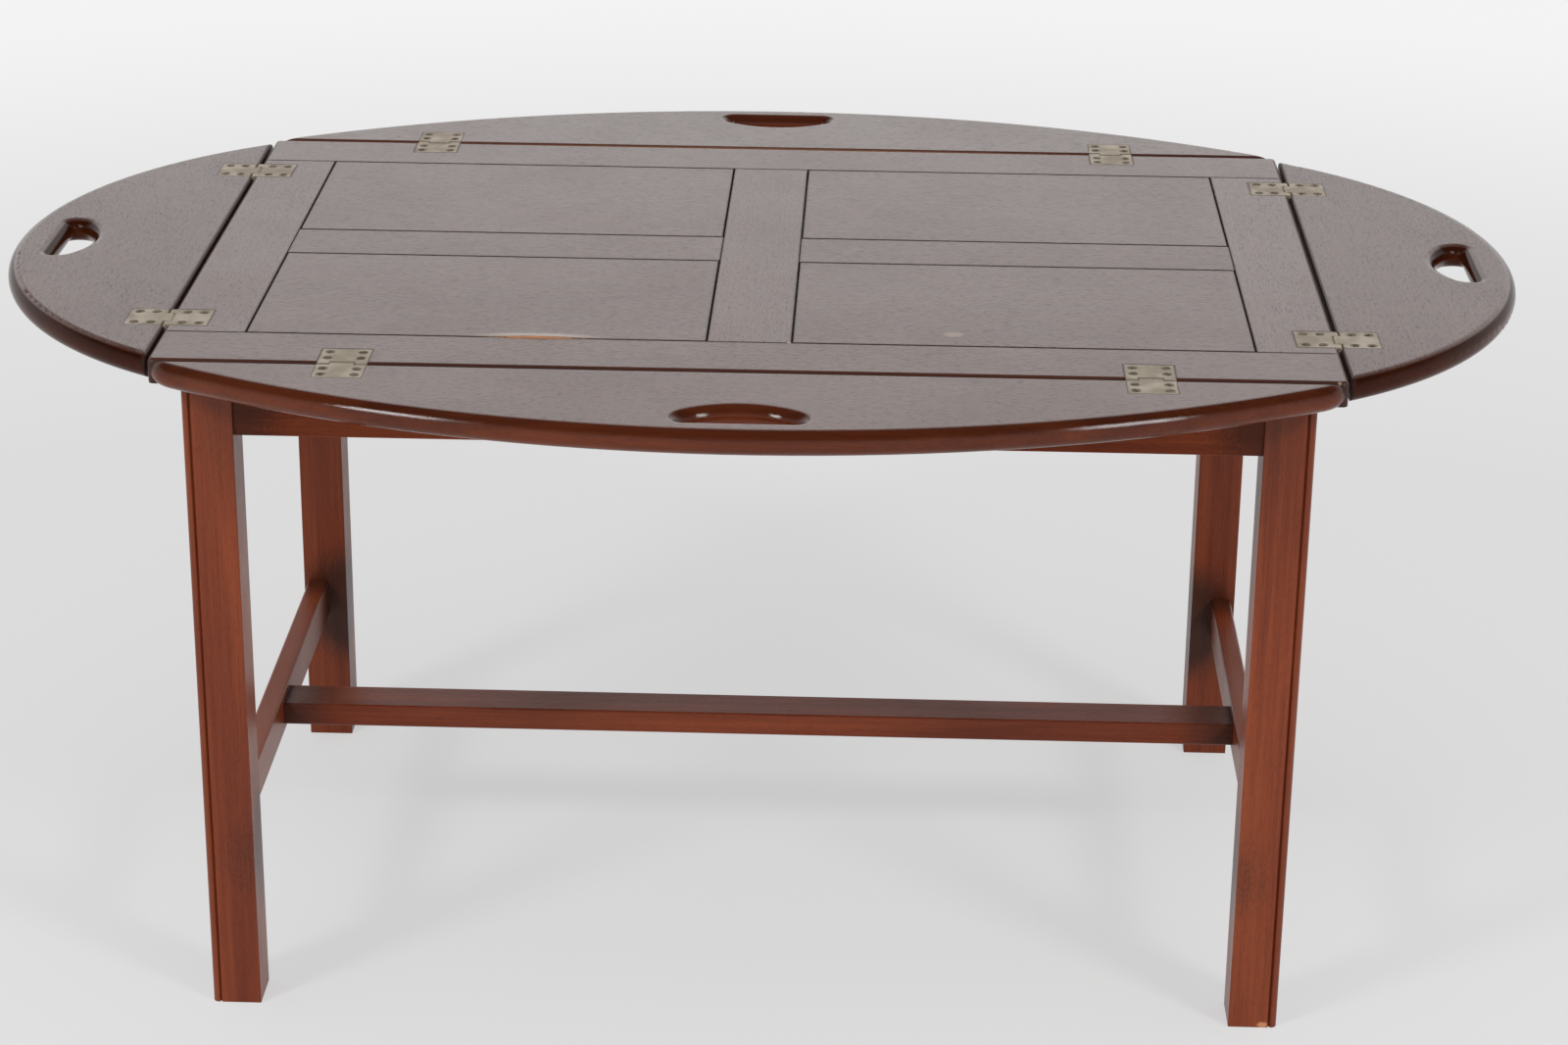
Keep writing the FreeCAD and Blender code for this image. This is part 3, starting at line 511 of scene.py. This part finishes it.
def wood_finish(name, grain, number, pale, dark, roughness, shine, marks=(), seam=None, worn_and_sheen=None,
                flat=FLAT_STEP):
    """A lacquered mahogany for one piece, with its own stretch of grain and its marks.

    The pieces of the oval top give their seam: () for a piece of the tray, or a leaf's hinged edge as its
    axis, its level and how dark its dirt and painted shade are.
    """
    wood = bpy.context.scene.tray_table_wood
    material, graph, shader = new_material(name)
    place = graph.node("ShaderNodeTexCoord").outputs
    shift = [part * number for part in GRAIN_SPACING]
    turned = graph.out("ShaderNodeMapping", {"Vector": place["Object"], "Location": shift,
                                             "Rotation": GRAIN_TURN[grain]})
    drawn = graph.shared("mahogany_grain", make_grain,
                         {"Vector": turned, "Pale": rgba(pale), "Dark": rgba(dark)})
    clouds = patches(graph, turned, WOOD_PATCH_SCALE)
    edges = soft_edges(graph, wood.edge_width if seam is None else wood.seam_width)
    colour = drawn["Colour"]
    relief = drawn["Height"]
    polish = graph.plus(graph.times(clouds, PATCH_DULLING), roughness)
    if seam is None:
        pored = graph.times(drawn["Pores"], STAND_PORE_SHARE)
        rubbed = graph.times(edges["Mask"], graph.step(clouds, *RUBBED_STEP))
        colour = graph.tint(rubbed, colour, graph.tint(RUBBED_BARE_SHARE, rgba(pale), rgba(wood.bare)))
    else:
        upward = parts_of(graph, place["Normal"])[2]
        flat_top = graph.step(upward, *flat)
        pored = graph.times(drawn["Pores"], graph.step(flat_top, 0.0, 1.0, RIM_PORE_SHARE, 1.0))
        relief = graph.times(relief, graph.step(flat_top, 0.0, 1.0, RIM_RELIEF_SHARE, 1.0))
        dulled = graph.step(clouds, 0.0, 1.0, wood.worn_and_sheen_share, wood.worn_and_sheen_share - PATCH_WEAR)
        # Painted shade on faces turned up, painted floor light on faces turned down
        colour = graph.tint(1.0, colour, graph.step(upward, *RIM_SHADE_STEP), "MULTIPLY")
        # The flat upper faces take the worn colour, which holds a painted sheen
        streaked = graph.tint(1.0, rgba(worn_and_sheen), graph.step(drawn["Streaks"], *WORN_STREAK_STEP), "MULTIPLY")
        colour = graph.tint(graph.times(flat_top, dulled), colour, streaked)
        dirt_and_shade, arris = gap_masks(graph, wood, place["Object"], upward, edges, seam)
        # Seams and gaps darkened: dirt, and painted shade deep in the gaps
        colour = graph.tint(graph.times(dirt_and_shade, wood.seam_dirt_and_shade_share), colour, rgba(wood.seam))
        dull = graph.most(graph.most(flat_top, arris), dirt_and_shade)
        polish = graph.plus(polish, graph.times(dull, wood.worn_roughness - roughness))
        coated = graph.most(flat_top, graph.times(arris, wood.arris_coat))
        coat = graph.step(coated, 0.0, 1.0, wood.rim_coat, wood.top_coat)
        coat = graph.times(coat, graph.step(pored, 0.0, 1.0, 1.0, PORE_COAT_SHARE))
        coat = graph.times(coat, graph.step(dirt_and_shade, 0.0, 1.0, 1.0, DIRT_AND_SHADE_COAT_SHARE))
        graph.fill(shader, {"Coat Weight": coat, "Coat Roughness": COAT_ROUGHNESS, "Coat IOR": COAT_IOR})
    colour = graph.tint(pored, colour, PORE_TINT, "MULTIPLY")
    for mark in marks:
        mask = graph.shared("small_mark", make_mark, {"Vector": place["Object"], "Place": mark.place,
                                                      "Size": mark.size, "Ragged": mark.ragged})["Mask"]
        colour = graph.tint(graph.times(mask, mark.strength), colour, rgba(mark.tone))
    bump = graph.out("ShaderNodeBump", {"Strength": PORE_BUMP, "Distance": wood.pore_depth,
                                        "Height": relief, "Normal": edges["Normal"]})
    graph.fill(shader, {"Base Color": colour, "Roughness": polish, "Normal": bump, "Specular IOR Level": shine})
    return material


def top_finish(wood, node, grain, number, marks, seam=(), worn_and_sheen=None, at_end=False):
    """The finish of a piece of the oval top: the leaves at its ends have softer rims, painted darker as painted
    shade.
    """
    # Painted shade: the end leaves' colours are made darker
    rim = wood.end_rim_shade if at_end else 1.0
    return wood_finish(node + "_mahogany", grain, number, shaded(wood.top_pale, rim),
                       shaded(wood.top_dark, rim), wood.top_roughness,
                       wood.end_shine if at_end else wood.top_shine, marks, seam, worn_and_sheen or wood.worn_and_sheen,
                       END_FLAT_STEP if at_end else FLAT_STEP)


def plain_wood(wood, node, grain, number):
    """Unfinished wood for a piece that is out of sight."""
    return wood_finish(node + "_plain_wood", grain, number, wood.under,
                       shaded(wood.under, UNDER_DARK_SHARE), UNDER_ROUGHNESS, wood.stand_shine)


def metal_finish(name, clean, tarnish, roughness, patch_scale, edge):
    """An old plated metal with dull patches, fine scratches, and grime and painted shade along its edges."""
    material, graph, shader = new_material(name)
    place = graph.node("ShaderNodeTexCoord").outputs["Object"]
    clouds = patches(graph, place, patch_scale)
    edges = soft_edges(graph, edge)
    scratched = graph.out("ShaderNodeMapping", {"Vector": place, "Rotation": SCRATCH_TURN,
                                                "Scale": SCRATCH_SCALE})
    scratches = graph.out("ShaderNodeTexNoise", {"Vector": scratched, "Scale": 1.0, "Detail": SCRATCH_DETAIL})
    colour = graph.tint(clouds, rgba(clean), rgba(tarnish))
    # Darker along the edges: grime, and painted shade in the mortise gap
    colour = graph.tint(graph.step(edges["Mask"], *GRIME_AND_SHADE_STEP), colour, rgba(shaded(tarnish, GRIME_AND_SHADE_SHARE)))
    dull = graph.plus(graph.times(clouds, TARNISH_DULLING), graph.times(scratches, SCRATCH_DULLING))
    polish = graph.plus(dull, roughness - POLISH_GAIN)
    bump = graph.out("ShaderNodeBump", {"Strength": SCRATCH_BUMP, "Distance": SCRATCH_DEPTH,
                                        "Height": scratches, "Normal": edges["Normal"]})
    graph.fill(shader, {"Base Color": colour, "Roughness": polish, "Normal": bump, "Metallic": 1.0})
    return material


def dress(node, material):
    """Give a CAD node its finish."""
    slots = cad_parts[node].data.materials
    slots.clear()
    slots.append(material)


# Operators

class TRAYTABLE_OT_stage(bpy.types.Operator):
    """Set up the camera, the soft lights, the pale floor and the white surroundings"""

    bl_idname = "tray_table.stage"
    bl_label = "Studio"

    sensor_width = 36.0
    clip_end = 200.0
    light_target = Vector((0.0, 0.0, 0.35))
    floor_radius = 60.0
    floor_sides = 96
    floor_roughness = 0.75
    # Metres from the table over which the floor glows white and takes the backdrop's tone
    glow_reach = (0.7, 3.0)
    tone_reach = (1.0, 2.9)
    # Upward part of the direction over which the fill grows and the walls turn into the ceiling
    fill_rise = (0.0, 0.9)
    wall_rise = (0.34, 0.66)

    def execute(self, context):
        stage = context.scene.tray_table_stage
        camera = add_object(context, "camera", bpy.data.cameras.new("camera"))
        camera.location = stage.eye
        camera.rotation_euler = Euler(stage.turn)
        camera.data.lens = stage.lens
        camera.data.sensor_width = self.sensor_width
        camera.data.clip_end = self.clip_end
        context.scene.camera = camera
        for side in (-1, 1):
            self.soft_light(context, stage, side)
        self.floor(context, stage)
        self.surroundings(context, stage)
        context.scene.view_settings.view_transform = "Standard"
        return {"FINISHED"}

    def soft_light(self, context, stage, side):
        """A square soft light in front, on the left or right."""
        name = "soft_light_left" if side < 0 else "soft_light_right"
        data = bpy.data.lights.new(name, "AREA")
        data.energy = stage.power
        data.size = stage.light_size
        light = add_object(context, name, data)
        light.location = (side * stage.light_place[0], *stage.light_place[1:])
        light.rotation_euler = (self.light_target - light.location).to_track_quat("-Z", "Y").to_euler()

    def seen(self, graph):
        """1 for rays that show the background: seen directly, mirrored or through glass."""
        path = graph.node("ShaderNodeLightPath").outputs
        mirrored = graph.most(path["Is Glossy Ray"], path["Is Transmission Ray"])
        return graph.most(path["Is Camera Ray"], mirrored)

    def floor(self, context, stage):
        """A wide pale floor that keeps the shadow near the table and goes white further off."""
        mesh = bpy.data.meshes.new("floor")
        shape = bmesh.new()
        bmesh.ops.create_circle(shape, cap_ends=True, segments=self.floor_sides, radius=self.floor_radius)
        shape.to_mesh(mesh)
        shape.free()
        floor = add_object(context, "floor", mesh)
        material, graph, shader = new_material("pale_floor")
        graph.fill(shader, {"Base Color": grey(stage.floor), "Roughness": self.floor_roughness})
        place = graph.node("ShaderNodeTexCoord").outputs["Object"]
        away = graph.node("ShaderNodeVectorMath", {0: place}, operation="LENGTH").outputs["Value"]
        glow = graph.step(away, *self.glow_reach, stage.floor_glow, 1.0)
        far = graph.times(glow, self.seen(graph))
        tone = graph.tint(graph.step(away, *self.tone_reach), grey(stage.floor_tone), grey(stage.backdrop))
        white = graph.out("ShaderNodeEmission", {"Color": tone})
        mixed = graph.out("ShaderNodeMixShader", {0: far, 1: shader.outputs[0], 2: white})
        graph.fill(material.node_tree.nodes["Material Output"], {"Surface": mixed})
        mesh.materials.append(material)

    def surroundings(self, context, stage):
        """White walls all round that darken towards the ceiling, and an even soft light."""
        world = bpy.data.worlds.new("white_room")
        context.scene.world = world
        world.use_nodes = True
        graph = Graph(world.node_tree)
        fill = world.node_tree.nodes["Background"]
        up = graph.node("ShaderNodeTexCoord").outputs["Generated"]
        height = parts_of(graph, up)[2]
        soft = graph.tint(graph.step(height, *self.fill_rise), grey(stage.fill_low), grey(stage.fill_high))
        graph.fill(fill, {"Color": soft})
        tone = graph.tint(graph.step(height, *self.wall_rise), grey(stage.backdrop), grey(stage.ceiling))
        walls = graph.out("ShaderNodeBackground", {"Color": tone})
        mixed = graph.out("ShaderNodeMixShader", {0: self.seen(graph), 1: fill.outputs[0], 2: walls})
        graph.fill(world.node_tree.nodes["World Output"], {"Surface": mixed})


class TRAYTABLE_OT_stand(bpy.types.Operator):
    """Finish the legs, aprons, stretchers and glue blocks"""

    bl_idname = "tray_table.stand"
    bl_label = "Stand"

    grain = {"leg_front_left": "Z", "leg_front_right": "Z", "leg_back_left": "Z", "leg_back_right": "Z",
             "apron_front": "X", "apron_back": "X", "apron_left": "Y", "apron_right": "Y",
             "end_stretcher_left": "Y", "end_stretcher_right": "Y", "long_stretcher": "X"}
    # Toner: its level at the stretchers, its reach and strength there, at a leg's top, where the mark is
    # painted shade, and at a bar's end
    stretcher_level = 0.115
    stretcher_toner = ((0.045, 0.045, 0.06), 0.8)
    leg_top_shade = ((0.05, 0.05, 0.13), 0.55)
    bar_end_toner = ((0.06, 0.06, 0.06), 0.7)
    toner_ragged = 0.5
    leg_top_ragged = 0.3
    first_block = 40

    def execute(self, context):
        wood = context.scene.tray_table_wood
        marks = {"leg_front_right": [Mark((0.365, -0.241, 0.002), (0.005, 0.004, 0.003), wood.bare, 0.9, 0.8)],
                 "end_stretcher_left": [Mark((-0.356, -0.082, 0.1264), (0.0022, 0.0022, 0.0022),
                                             wood.bruise, 0.9, 0.3)]}
        for number, (node, grain) in enumerate(self.grain.items()):
            shine = wood.apron_shine if node.startswith("apron_") else wood.stand_shine
            marked = self.shading(node, wood) + marks.get(node, [])
            dress(node, wood_finish(node + "_mahogany", grain, number, wood.stand_pale,
                                    wood.stand_dark, wood.stand_roughness, shine, marked))
        for number, node in enumerate(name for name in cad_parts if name.startswith("corner_block_")):
            dress(node, plain_wood(wood, node, "X", number + self.first_block))
        return {"FINISHED"}

    def shading(self, node, wood):
        """The dark toner that was sprayed round the joints of a piece of the stand, and painted shade at the
        top of each leg.
        """
        low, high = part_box(node)
        if node.startswith("leg_"):
            inner = (min(low.x, high.x, key=abs), min(low.y, high.y, key=abs))
            reach, strength = self.stretcher_toner
            top_reach, top_strength = self.leg_top_shade
            return [Mark((*inner, self.stretcher_level), reach, wood.toner_and_shade, strength, self.toner_ragged),
                    # Painted shade at the leg's top, under the oval top
                    Mark((*inner, high.z), top_reach, wood.toner_and_shade, top_strength, self.leg_top_ragged)]
        axis = 1 if self.grain[node] == "Y" else 0
        reach, strength = self.bar_end_toner
        ends = []
        for corner in (low, high):
            spot = (low + high) / 2
            spot[axis] = corner[axis]
            ends.append(Mark(tuple(spot), reach, wood.toner_and_shade, strength, self.toner_ragged))
        return ends


class TRAYTABLE_OT_tray(bpy.types.Operator):
    """Finish the tray's frame, its panels and the battens below"""

    bl_idname = "tray_table.tray"
    bl_label = "Tray"

    grain = {"tray_rail_front": "X", "tray_rail_back": "X", "tray_stile_left": "Y", "tray_stile_right": "Y",
             "tray_centre_stile": "Y", "tray_mid_rail_left": "X", "tray_mid_rail_right": "X",
             "tray_panel_front_right": "X", "tray_panel_back_left": "X", "tray_panel_back_right": "X"}
    first_piece = 11
    first_batten = 50

    def execute(self, context):
        wood = context.scene.tray_table_wood
        top = cad_box[1].z
        marks = {"tray_panel_front_right": [Mark((0.136, -0.1803, top), (0.0085, 0.0070, 0.004),
                                                 wood.scuff_and_highlight, 0.30, 0.6)],
                 "tray_rail_front": [Mark((-0.141, -0.2046, top), (0.034, 0.0014, 0.004), wood.bare, 0.85, 1.6),
                                     Mark((0.385, -0.2605, top), (0.0016, 0.0016, 0.004),
                                          wood.scuff_and_highlight, 0.4, 0.6)],
                 "tray_centre_stile": [Mark((0.0275, -0.2040, top), (0.0028, 0.0016, 0.004),
                                            wood.scuff_and_highlight, 0.9, 0.6)]}
        for number, (node, grain) in enumerate(self.grain.items()):
            dress(node, top_finish(wood, node, grain, number + self.first_piece, marks.get(node, ())))
        for number, node in enumerate(("tray_batten_left", "tray_batten_right")):
            dress(node, plain_wood(wood, node, "Y", number + self.first_batten))
        return {"FINISHED"}


class TRAYTABLE_OT_lifted_panel(bpy.types.Operator):
    """Make the front left panel, whose front edge has lifted a little from the rail"""

    bl_idname = "tray_table.lifted_panel"
    bl_label = "Lifted panel"

    grain_number = 31
    smooth_angle = math.radians(30.0)

    def execute(self, context):
        size = context.scene.tray_table_panel
        node = "tray_panel_front_left"
        low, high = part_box(node)
        columns = self.stations(low.x + size.tongue, high.x - size.tongue, size)
        rows = self.stations(low.y + size.tongue, high.y - size.tongue, size)
        shape = bmesh.new()
        grid = [[shape.verts.new((x, y, self.height(size, columns, rows, x, y, high.z))) for x in columns]
                for y in rows]
        for row in range(len(rows) - 1):
            for column in range(len(columns) - 1):
                shape.faces.new((grid[row][column], grid[row][column + 1],
                                 grid[row + 1][column + 1], grid[row + 1][column]))
        rim = (grid[0] + [line[-1] for line in grid[1:-1]] + grid[-1][::-1]
               + [line[0] for line in grid[-2:0:-1]])
        middle = (low + high) / 2
        for grow, level in ((0.0, high.z - size.face), (size.tongue, high.z - size.face), (size.tongue, low.z)):
            rim = self.wall(shape, rim, columns, rows, middle, grow, level)
        shape.faces.new(rim[::-1])
        bmesh.ops.recalc_face_normals(shape, faces=shape.faces)
        mesh = bpy.data.meshes.new("panel_front_left_lifted")
        shape.to_mesh(mesh)
        shape.free()
        mesh.set_sharp_from_angle(angle=self.smooth_angle)
        mesh.shade_smooth()
        piece = add_object(context, "panel_front_left_lifted", mesh)
        wood = context.scene.tray_table_wood
        # Painted highlight: a pale lens on the lifted face, where its tilt catches the light
        lens_highlight = Mark((size.lift_x, rows[0] + 0.003, high.z), (0.052, 0.0075, 0.006), wood.scuff_and_highlight, 0.34, 0.4)
        chips = Mark((size.lift_x, rows[0] - 0.0002, high.z), (0.034, 0.0009, 0.004), wood.bare, 0.75, 1.2)
        mesh.materials.append(top_finish(wood, node, "X", self.grain_number, (lens_highlight, chips)))
        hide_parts(node)
        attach(piece, "tray")
        return {"FINISHED"}

    def stations(self, start, end, size):
        """Places of the mesh's lines from one edge to the other, with a bevel at each edge."""
        span = end - start - 2 * size.bevel
        count = max(2, round(span / size.cell))
        return [start] + [start + size.bevel + span * step / count for step in range(count + 1)] + [end]

    def height(self, size, columns, rows, x, y, top):
        """The level of the face, bevelled at its rim and lifted at the front."""
        on_rim = x in (columns[0], columns[-1]) or y in (rows[0], rows[-1])
        along = max(0.0, 1 - (2 * (x - size.lift_x) / size.lift_span) ** 2)
        inward = max(0.0, 1 - (y - rows[0]) / size.lift_reach)
        return top - size.bevel * on_rim + size.lift * along ** 2 * inward ** 2

    def wall(self, shape, rim, columns, rows, middle, grow, level):
        """A band of faces from a closed rim to the same rim moved outwards and set at one level."""
        lower = []
        for vert in rim:
            x = min(max(vert.co.x, columns[0]), columns[-1])
            y = min(max(vert.co.y, rows[0]), rows[-1])
            x += grow * ((x == columns[-1]) - (x == columns[0]))
            y += grow * ((y == rows[-1]) - (y == rows[0]))
            lower.append(shape.verts.new((x, y, level)))
        for index in range(len(rim)):
            after = (index + 1) % len(rim)
            shape.faces.new((rim[index], lower[index], lower[after], rim[after]))
        return lower


class TRAYTABLE_OT_leaves(bpy.types.Operator):
    """Finish the four leaves"""

    bl_idname = "tray_table.leaves"
    bl_label = "Leaves"

    grain = {"leaf_front": "X", "leaf_back": "X", "leaf_left": "Y", "leaf_right": "Y"}
    # The hinged edge of each leaf: its axis, the end of the leaf's box it lies at, and how dark it is with dirt
    # and painted shade
    hinged_side = {"leaf_front": (1, 1, 1.0), "leaf_back": (1, 0, 0.0), "leaf_left": (0, 1, 0.6),
                   "leaf_right": (0, 0, 0.6)}
    first_leaf = 22

    def execute(self, context):
        wood = context.scene.tray_table_wood
        top = cad_box[1].z
        back_edge = (0.0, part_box("leaf_back")[0].y, top - 0.004)
        marks = {"leaf_left": [Mark((-0.4844, -0.0997, top), (0.004, 0.0018, 0.003), wood.bruise, 0.6, 0.8),
                               Mark((-0.470, -0.093, top), (0.0022, 0.0014, 0.003), wood.bruise, 0.5, 0.8)],
                 "leaf_back": [Mark(back_edge, (0.40, 0.003, 0.006), wood.under, 0.7, 0.3)]}
        for number, (node, grain) in enumerate(self.grain.items()):
            axis, end, dirt_and_shade = self.hinged_side[node]
            seam = (axis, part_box(node)[end][axis], dirt_and_shade)
            # The back leaf's flat face takes a paler colour, also with the painted sheen
            worn_and_sheen = wood.faded_and_sheen if node == "leaf_back" else wood.worn_and_sheen
            dress(node, top_finish(wood, node, grain, number + self.first_leaf, marks.get(node, ()), seam, worn_and_sheen,
                                   at_end=grain == "Y"))
        return {"FINISHED"}


class TRAYTABLE_OT_hinges(bpy.types.Operator):
    """Finish the hinge plates, pins, springs and batten screws"""

    bl_idname = "tray_table.hinges"
    bl_label = "Hinges"

    plate_patch_scale = 55.0
    steel_patch_scale = 120.0

    def execute(self, context):
        metal = context.scene.tray_table_metal
        plate = metal_finish("rubbed_nickel", metal.plate, metal.tarnish, metal.plate_roughness,
                             self.plate_patch_scale, metal.plate_edge)
        steel = metal_finish("dull_steel", metal.steel, metal.steel_tarnish, metal.screw_roughness,
                             self.steel_patch_scale, metal.screw_edge)
        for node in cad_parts:
            if node.endswith("_plate") or node == "hinge_pins":
                dress(node, plate)
        for node in ("hinge_springs", "batten_screws"):
            dress(node, steel)
        return {"FINISHED"}


class TRAYTABLE_OT_hinge_screws(bpy.types.Operator):
    """Make the slotted screws of the hinges, one set for each body"""

    bl_idname = "tray_table.hinge_screws"
    bl_label = "Hinge screws"

    lengths = ("Head Radius", "Head Depth", "Rim", "Shank Radius", "Length", "Slot Width", "Slot Depth",
               "Sink", "Tilt")
    patch_scale = 260.0
    weld = 1e-6
    # Radius of the tip beside the shank's, and length of the slot's cutter beside the head's radius
    tip_share = 0.55
    cutter_share = 3.0

    def execute(self, context):
        metal = context.scene.tray_table_metal
        size = context.scene.tray_table_screws
        finish = metal_finish("browned_screw", metal.screw, metal.screw_tarnish, metal.screw_roughness,
                              self.patch_scale, metal.screw_edge)
        tree = self.screw_tree()
        sets = {"tray_hinge_screws": "tray", "leaf_front_screws": "leaf_front", "leaf_back_screws": "leaf_back",
                "leaf_left_screws": "leaf_left", "leaf_right_screws": "leaf_right"}
        for number, (node, body) in enumerate(sets.items()):
            name = node + "_slotted"
            mesh = bpy.data.meshes.new(name)
            mesh.from_pydata(self.head_places(node), [], [])
            piece = add_object(context, name, mesh)
            modifier = piece.modifiers.new("slotted_screws", "NODES")
            modifier.node_group = tree
            values = {label: getattr(size, label.lower().replace(" ", "_")) for label in self.lengths}
            values.update({"Sides": size.sides, "Seed": size.seed + number, "Metal": finish})
            for socket in tree.interface.items_tree:
                if socket.in_out == "INPUT" and socket.name in values:
                    modifier[socket.identifier] = values[socket.name]
            depsgraph = context.evaluated_depsgraph_get()
            made = bpy.data.meshes.new_from_object(piece.evaluated_get(depsgraph), depsgraph=depsgraph)
            piece.modifiers.remove(modifier)
            piece.data = made
            made.name = name
            if not made.polygons:
                raise RuntimeError("no screws were made for " + node)
            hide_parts(node)
            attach(piece, body)
        return {"FINISHED"}

    def head_places(self, node):
        """The middle of each screw's head, found from the separate solids of a CAD node."""
        shape = bmesh.new()
        shape.from_mesh(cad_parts[node].data)
        bmesh.ops.remove_doubles(shape, verts=shape.verts, dist=self.weld)
        places = []
        waiting = set(shape.verts)
        while waiting:
            island = [waiting.pop()]
            for vert in island:
                for edge in vert.link_edges:
                    other = edge.other_vert(vert)
                    if other in waiting:
                        waiting.remove(other)
                        island.append(other)
            low, high = ([pick(vert.co[axis] for vert in island) for axis in range(3)] for pick in (min, max))
            places.append(((low[0] + high[0]) / 2, (low[1] + high[1]) / 2, high[2]))
        shape.free()
        return sorted(places, key=lambda place: (round(place[0], 4), round(place[1], 4)))

    def screw_tree(self):
        """Nodes that put a slotted countersunk screw at each point, turned and sunk a little at random."""
        graph, given, result = new_group(
            "slotted_screws", "GeometryNodeTree",
            [("Geometry", "Geometry", None)] + [(label, "Float", 0.001) for label in self.lengths]
            + [("Sides", "Int", 24), ("Seed", "Int", 0), ("Metal", "Material", None)],
            [("Geometry", "Geometry")])
        minus, out = graph.minus, graph.out

        def level(depth):
            return out("ShaderNodeCombineXYZ", {2: depth})

        def moved(geometry, depth):
            return out("GeometryNodeTransform", {0: geometry, "Translation": level(depth)})

        def tube(low_radius, high_radius, low, high):
            cone = out("GeometryNodeMeshCone", {"Vertices": given["Sides"], "Radius Top": high_radius,
                                                "Radius Bottom": low_radius, "Depth": minus(high, low)},
                       fill_type="NONE")
            return moved(cone, low)

        def disc(radius, depth):
            circle = out("GeometryNodeMeshCircle", {"Vertices": given["Sides"], "Radius": radius},
                         fill_type="NGON")
            return moved(circle, depth)

        below_rim = minus(0.0, given["Rim"])
        below_head = minus(0.0, given["Head Depth"])
        tip = minus(0.0, given["Length"])
        top_radius = minus(given["Head Radius"], given["Rim"])
        tip_radius = graph.times(given["Shank Radius"], self.tip_share)
        base = out("GeometryNodeFlipFaces", {0: disc(tip_radius, tip)})
        shells = graph.node("GeometryNodeJoinGeometry")
        for part in (tube(given["Head Radius"], top_radius, below_rim, 0.0),
                     tube(given["Shank Radius"], given["Head Radius"], below_head, below_rim),
                     tube(tip_radius, given["Shank Radius"], tip, below_head),
                     disc(top_radius, 0.0), base):
            graph.tree.links.new(part, shells.inputs[0])
        blank = out("GeometryNodeMergeByDistance", {0: shells.outputs[0], "Distance": self.weld})
        slot_length = graph.times(given["Head Radius"], self.cutter_share)
        slot_size = out("ShaderNodeCombineXYZ", {0: slot_length, 1: given["Slot Width"],
                                                 2: graph.times(given["Slot Depth"], 2.0)})
        cutter = out("GeometryNodeMeshCube", {"Size": slot_size})
        screw = out("GeometryNodeMeshBoolean", {"Mesh 1": blank, "Mesh 2": cutter}, operation="DIFFERENCE")
        screw = out("GeometryNodeSetShadeSmooth", {0: screw, "Shade Smooth": False})
        sunk = graph.node("FunctionNodeRandomValue", {2: 0.0, 3: given["Sink"], "Seed": given["Seed"]},
                          data_type="FLOAT").outputs[1]
        points = out("GeometryNodeSetPosition", {0: given["Geometry"], "Offset": level(minus(0.0, sunk))})
        lean = given["Tilt"]
        back = minus(0.0, lean)
        least = out("ShaderNodeCombineXYZ", {0: back, 1: back, 2: 0.0})
        most = out("ShaderNodeCombineXYZ", {0: lean, 1: lean, 2: math.pi})
        angles = out("FunctionNodeRandomValue", {0: least, 1: most, "Seed": given["Seed"]},
                     data_type="FLOAT_VECTOR")
        turn = out("FunctionNodeEulerToRotation", {0: angles})
        placed = out("GeometryNodeInstanceOnPoints", {"Points": points, "Instance": screw, "Rotation": turn})
        solid = out("GeometryNodeRealizeInstances", {0: placed})
        finished = out("GeometryNodeSetMaterial", {"Geometry": solid, "Material": given["Metal"]})
        graph.fill(result, {"Geometry": finished})
        return graph.tree


class TRAYTABLE_PT_panel(bpy.types.Panel):
    """Lists the steps that dress the table"""

    bl_idname = "TRAYTABLE_PT_panel"
    bl_label = "Tray Table"
    bl_space_type = "VIEW_3D"
    bl_region_type = "UI"
    bl_category = "Tray Table"

    def draw(self, context):
        for operator in OPERATORS:
            self.layout.operator(operator.bl_idname)
        for name in SETTINGS:
            settings = getattr(context.scene, name)
            for key in settings.bl_rna.properties.keys():
                if key not in ("rna_type", "name"):
                    self.layout.prop(settings, key)


OPERATORS = (TRAYTABLE_OT_stage, TRAYTABLE_OT_stand, TRAYTABLE_OT_tray, TRAYTABLE_OT_lifted_panel,
             TRAYTABLE_OT_leaves, TRAYTABLE_OT_hinges, TRAYTABLE_OT_hinge_screws)
SETTINGS = {"tray_table_wood": TrayTableWood, "tray_table_metal": TrayTableMetal,
            "tray_table_screws": TrayTableScrews, "tray_table_panel": TrayTablePanel,
            "tray_table_stage": TrayTableStage}


def register():
    """Add the settings, operators and panel."""
    for name, group in SETTINGS.items():
        bpy.utils.register_class(group)
        setattr(bpy.types.Scene, name, PointerProperty(type=group))
    for operator in OPERATORS:
        bpy.utils.register_class(operator)
    bpy.utils.register_class(TRAYTABLE_PT_panel)


def unregister():
    """Take the settings, operators and panel away again."""
    bpy.utils.unregister_class(TRAYTABLE_PT_panel)
    for operator in reversed(OPERATORS):
        bpy.utils.unregister_class(operator)
    for name, group in SETTINGS.items():
        delattr(bpy.types.Scene, name)
        bpy.utils.unregister_class(group)


def main():
    """Register the steps and dress the table with them."""
    register()
    bpy.ops.tray_table.stage()
    bpy.ops.tray_table.stand()
    bpy.ops.tray_table.tray()
    bpy.ops.tray_table.lifted_panel()
    bpy.ops.tray_table.leaves()
    bpy.ops.tray_table.hinges()
    bpy.ops.tray_table.hinge_screws()


if __name__ == "__main__":
    main()
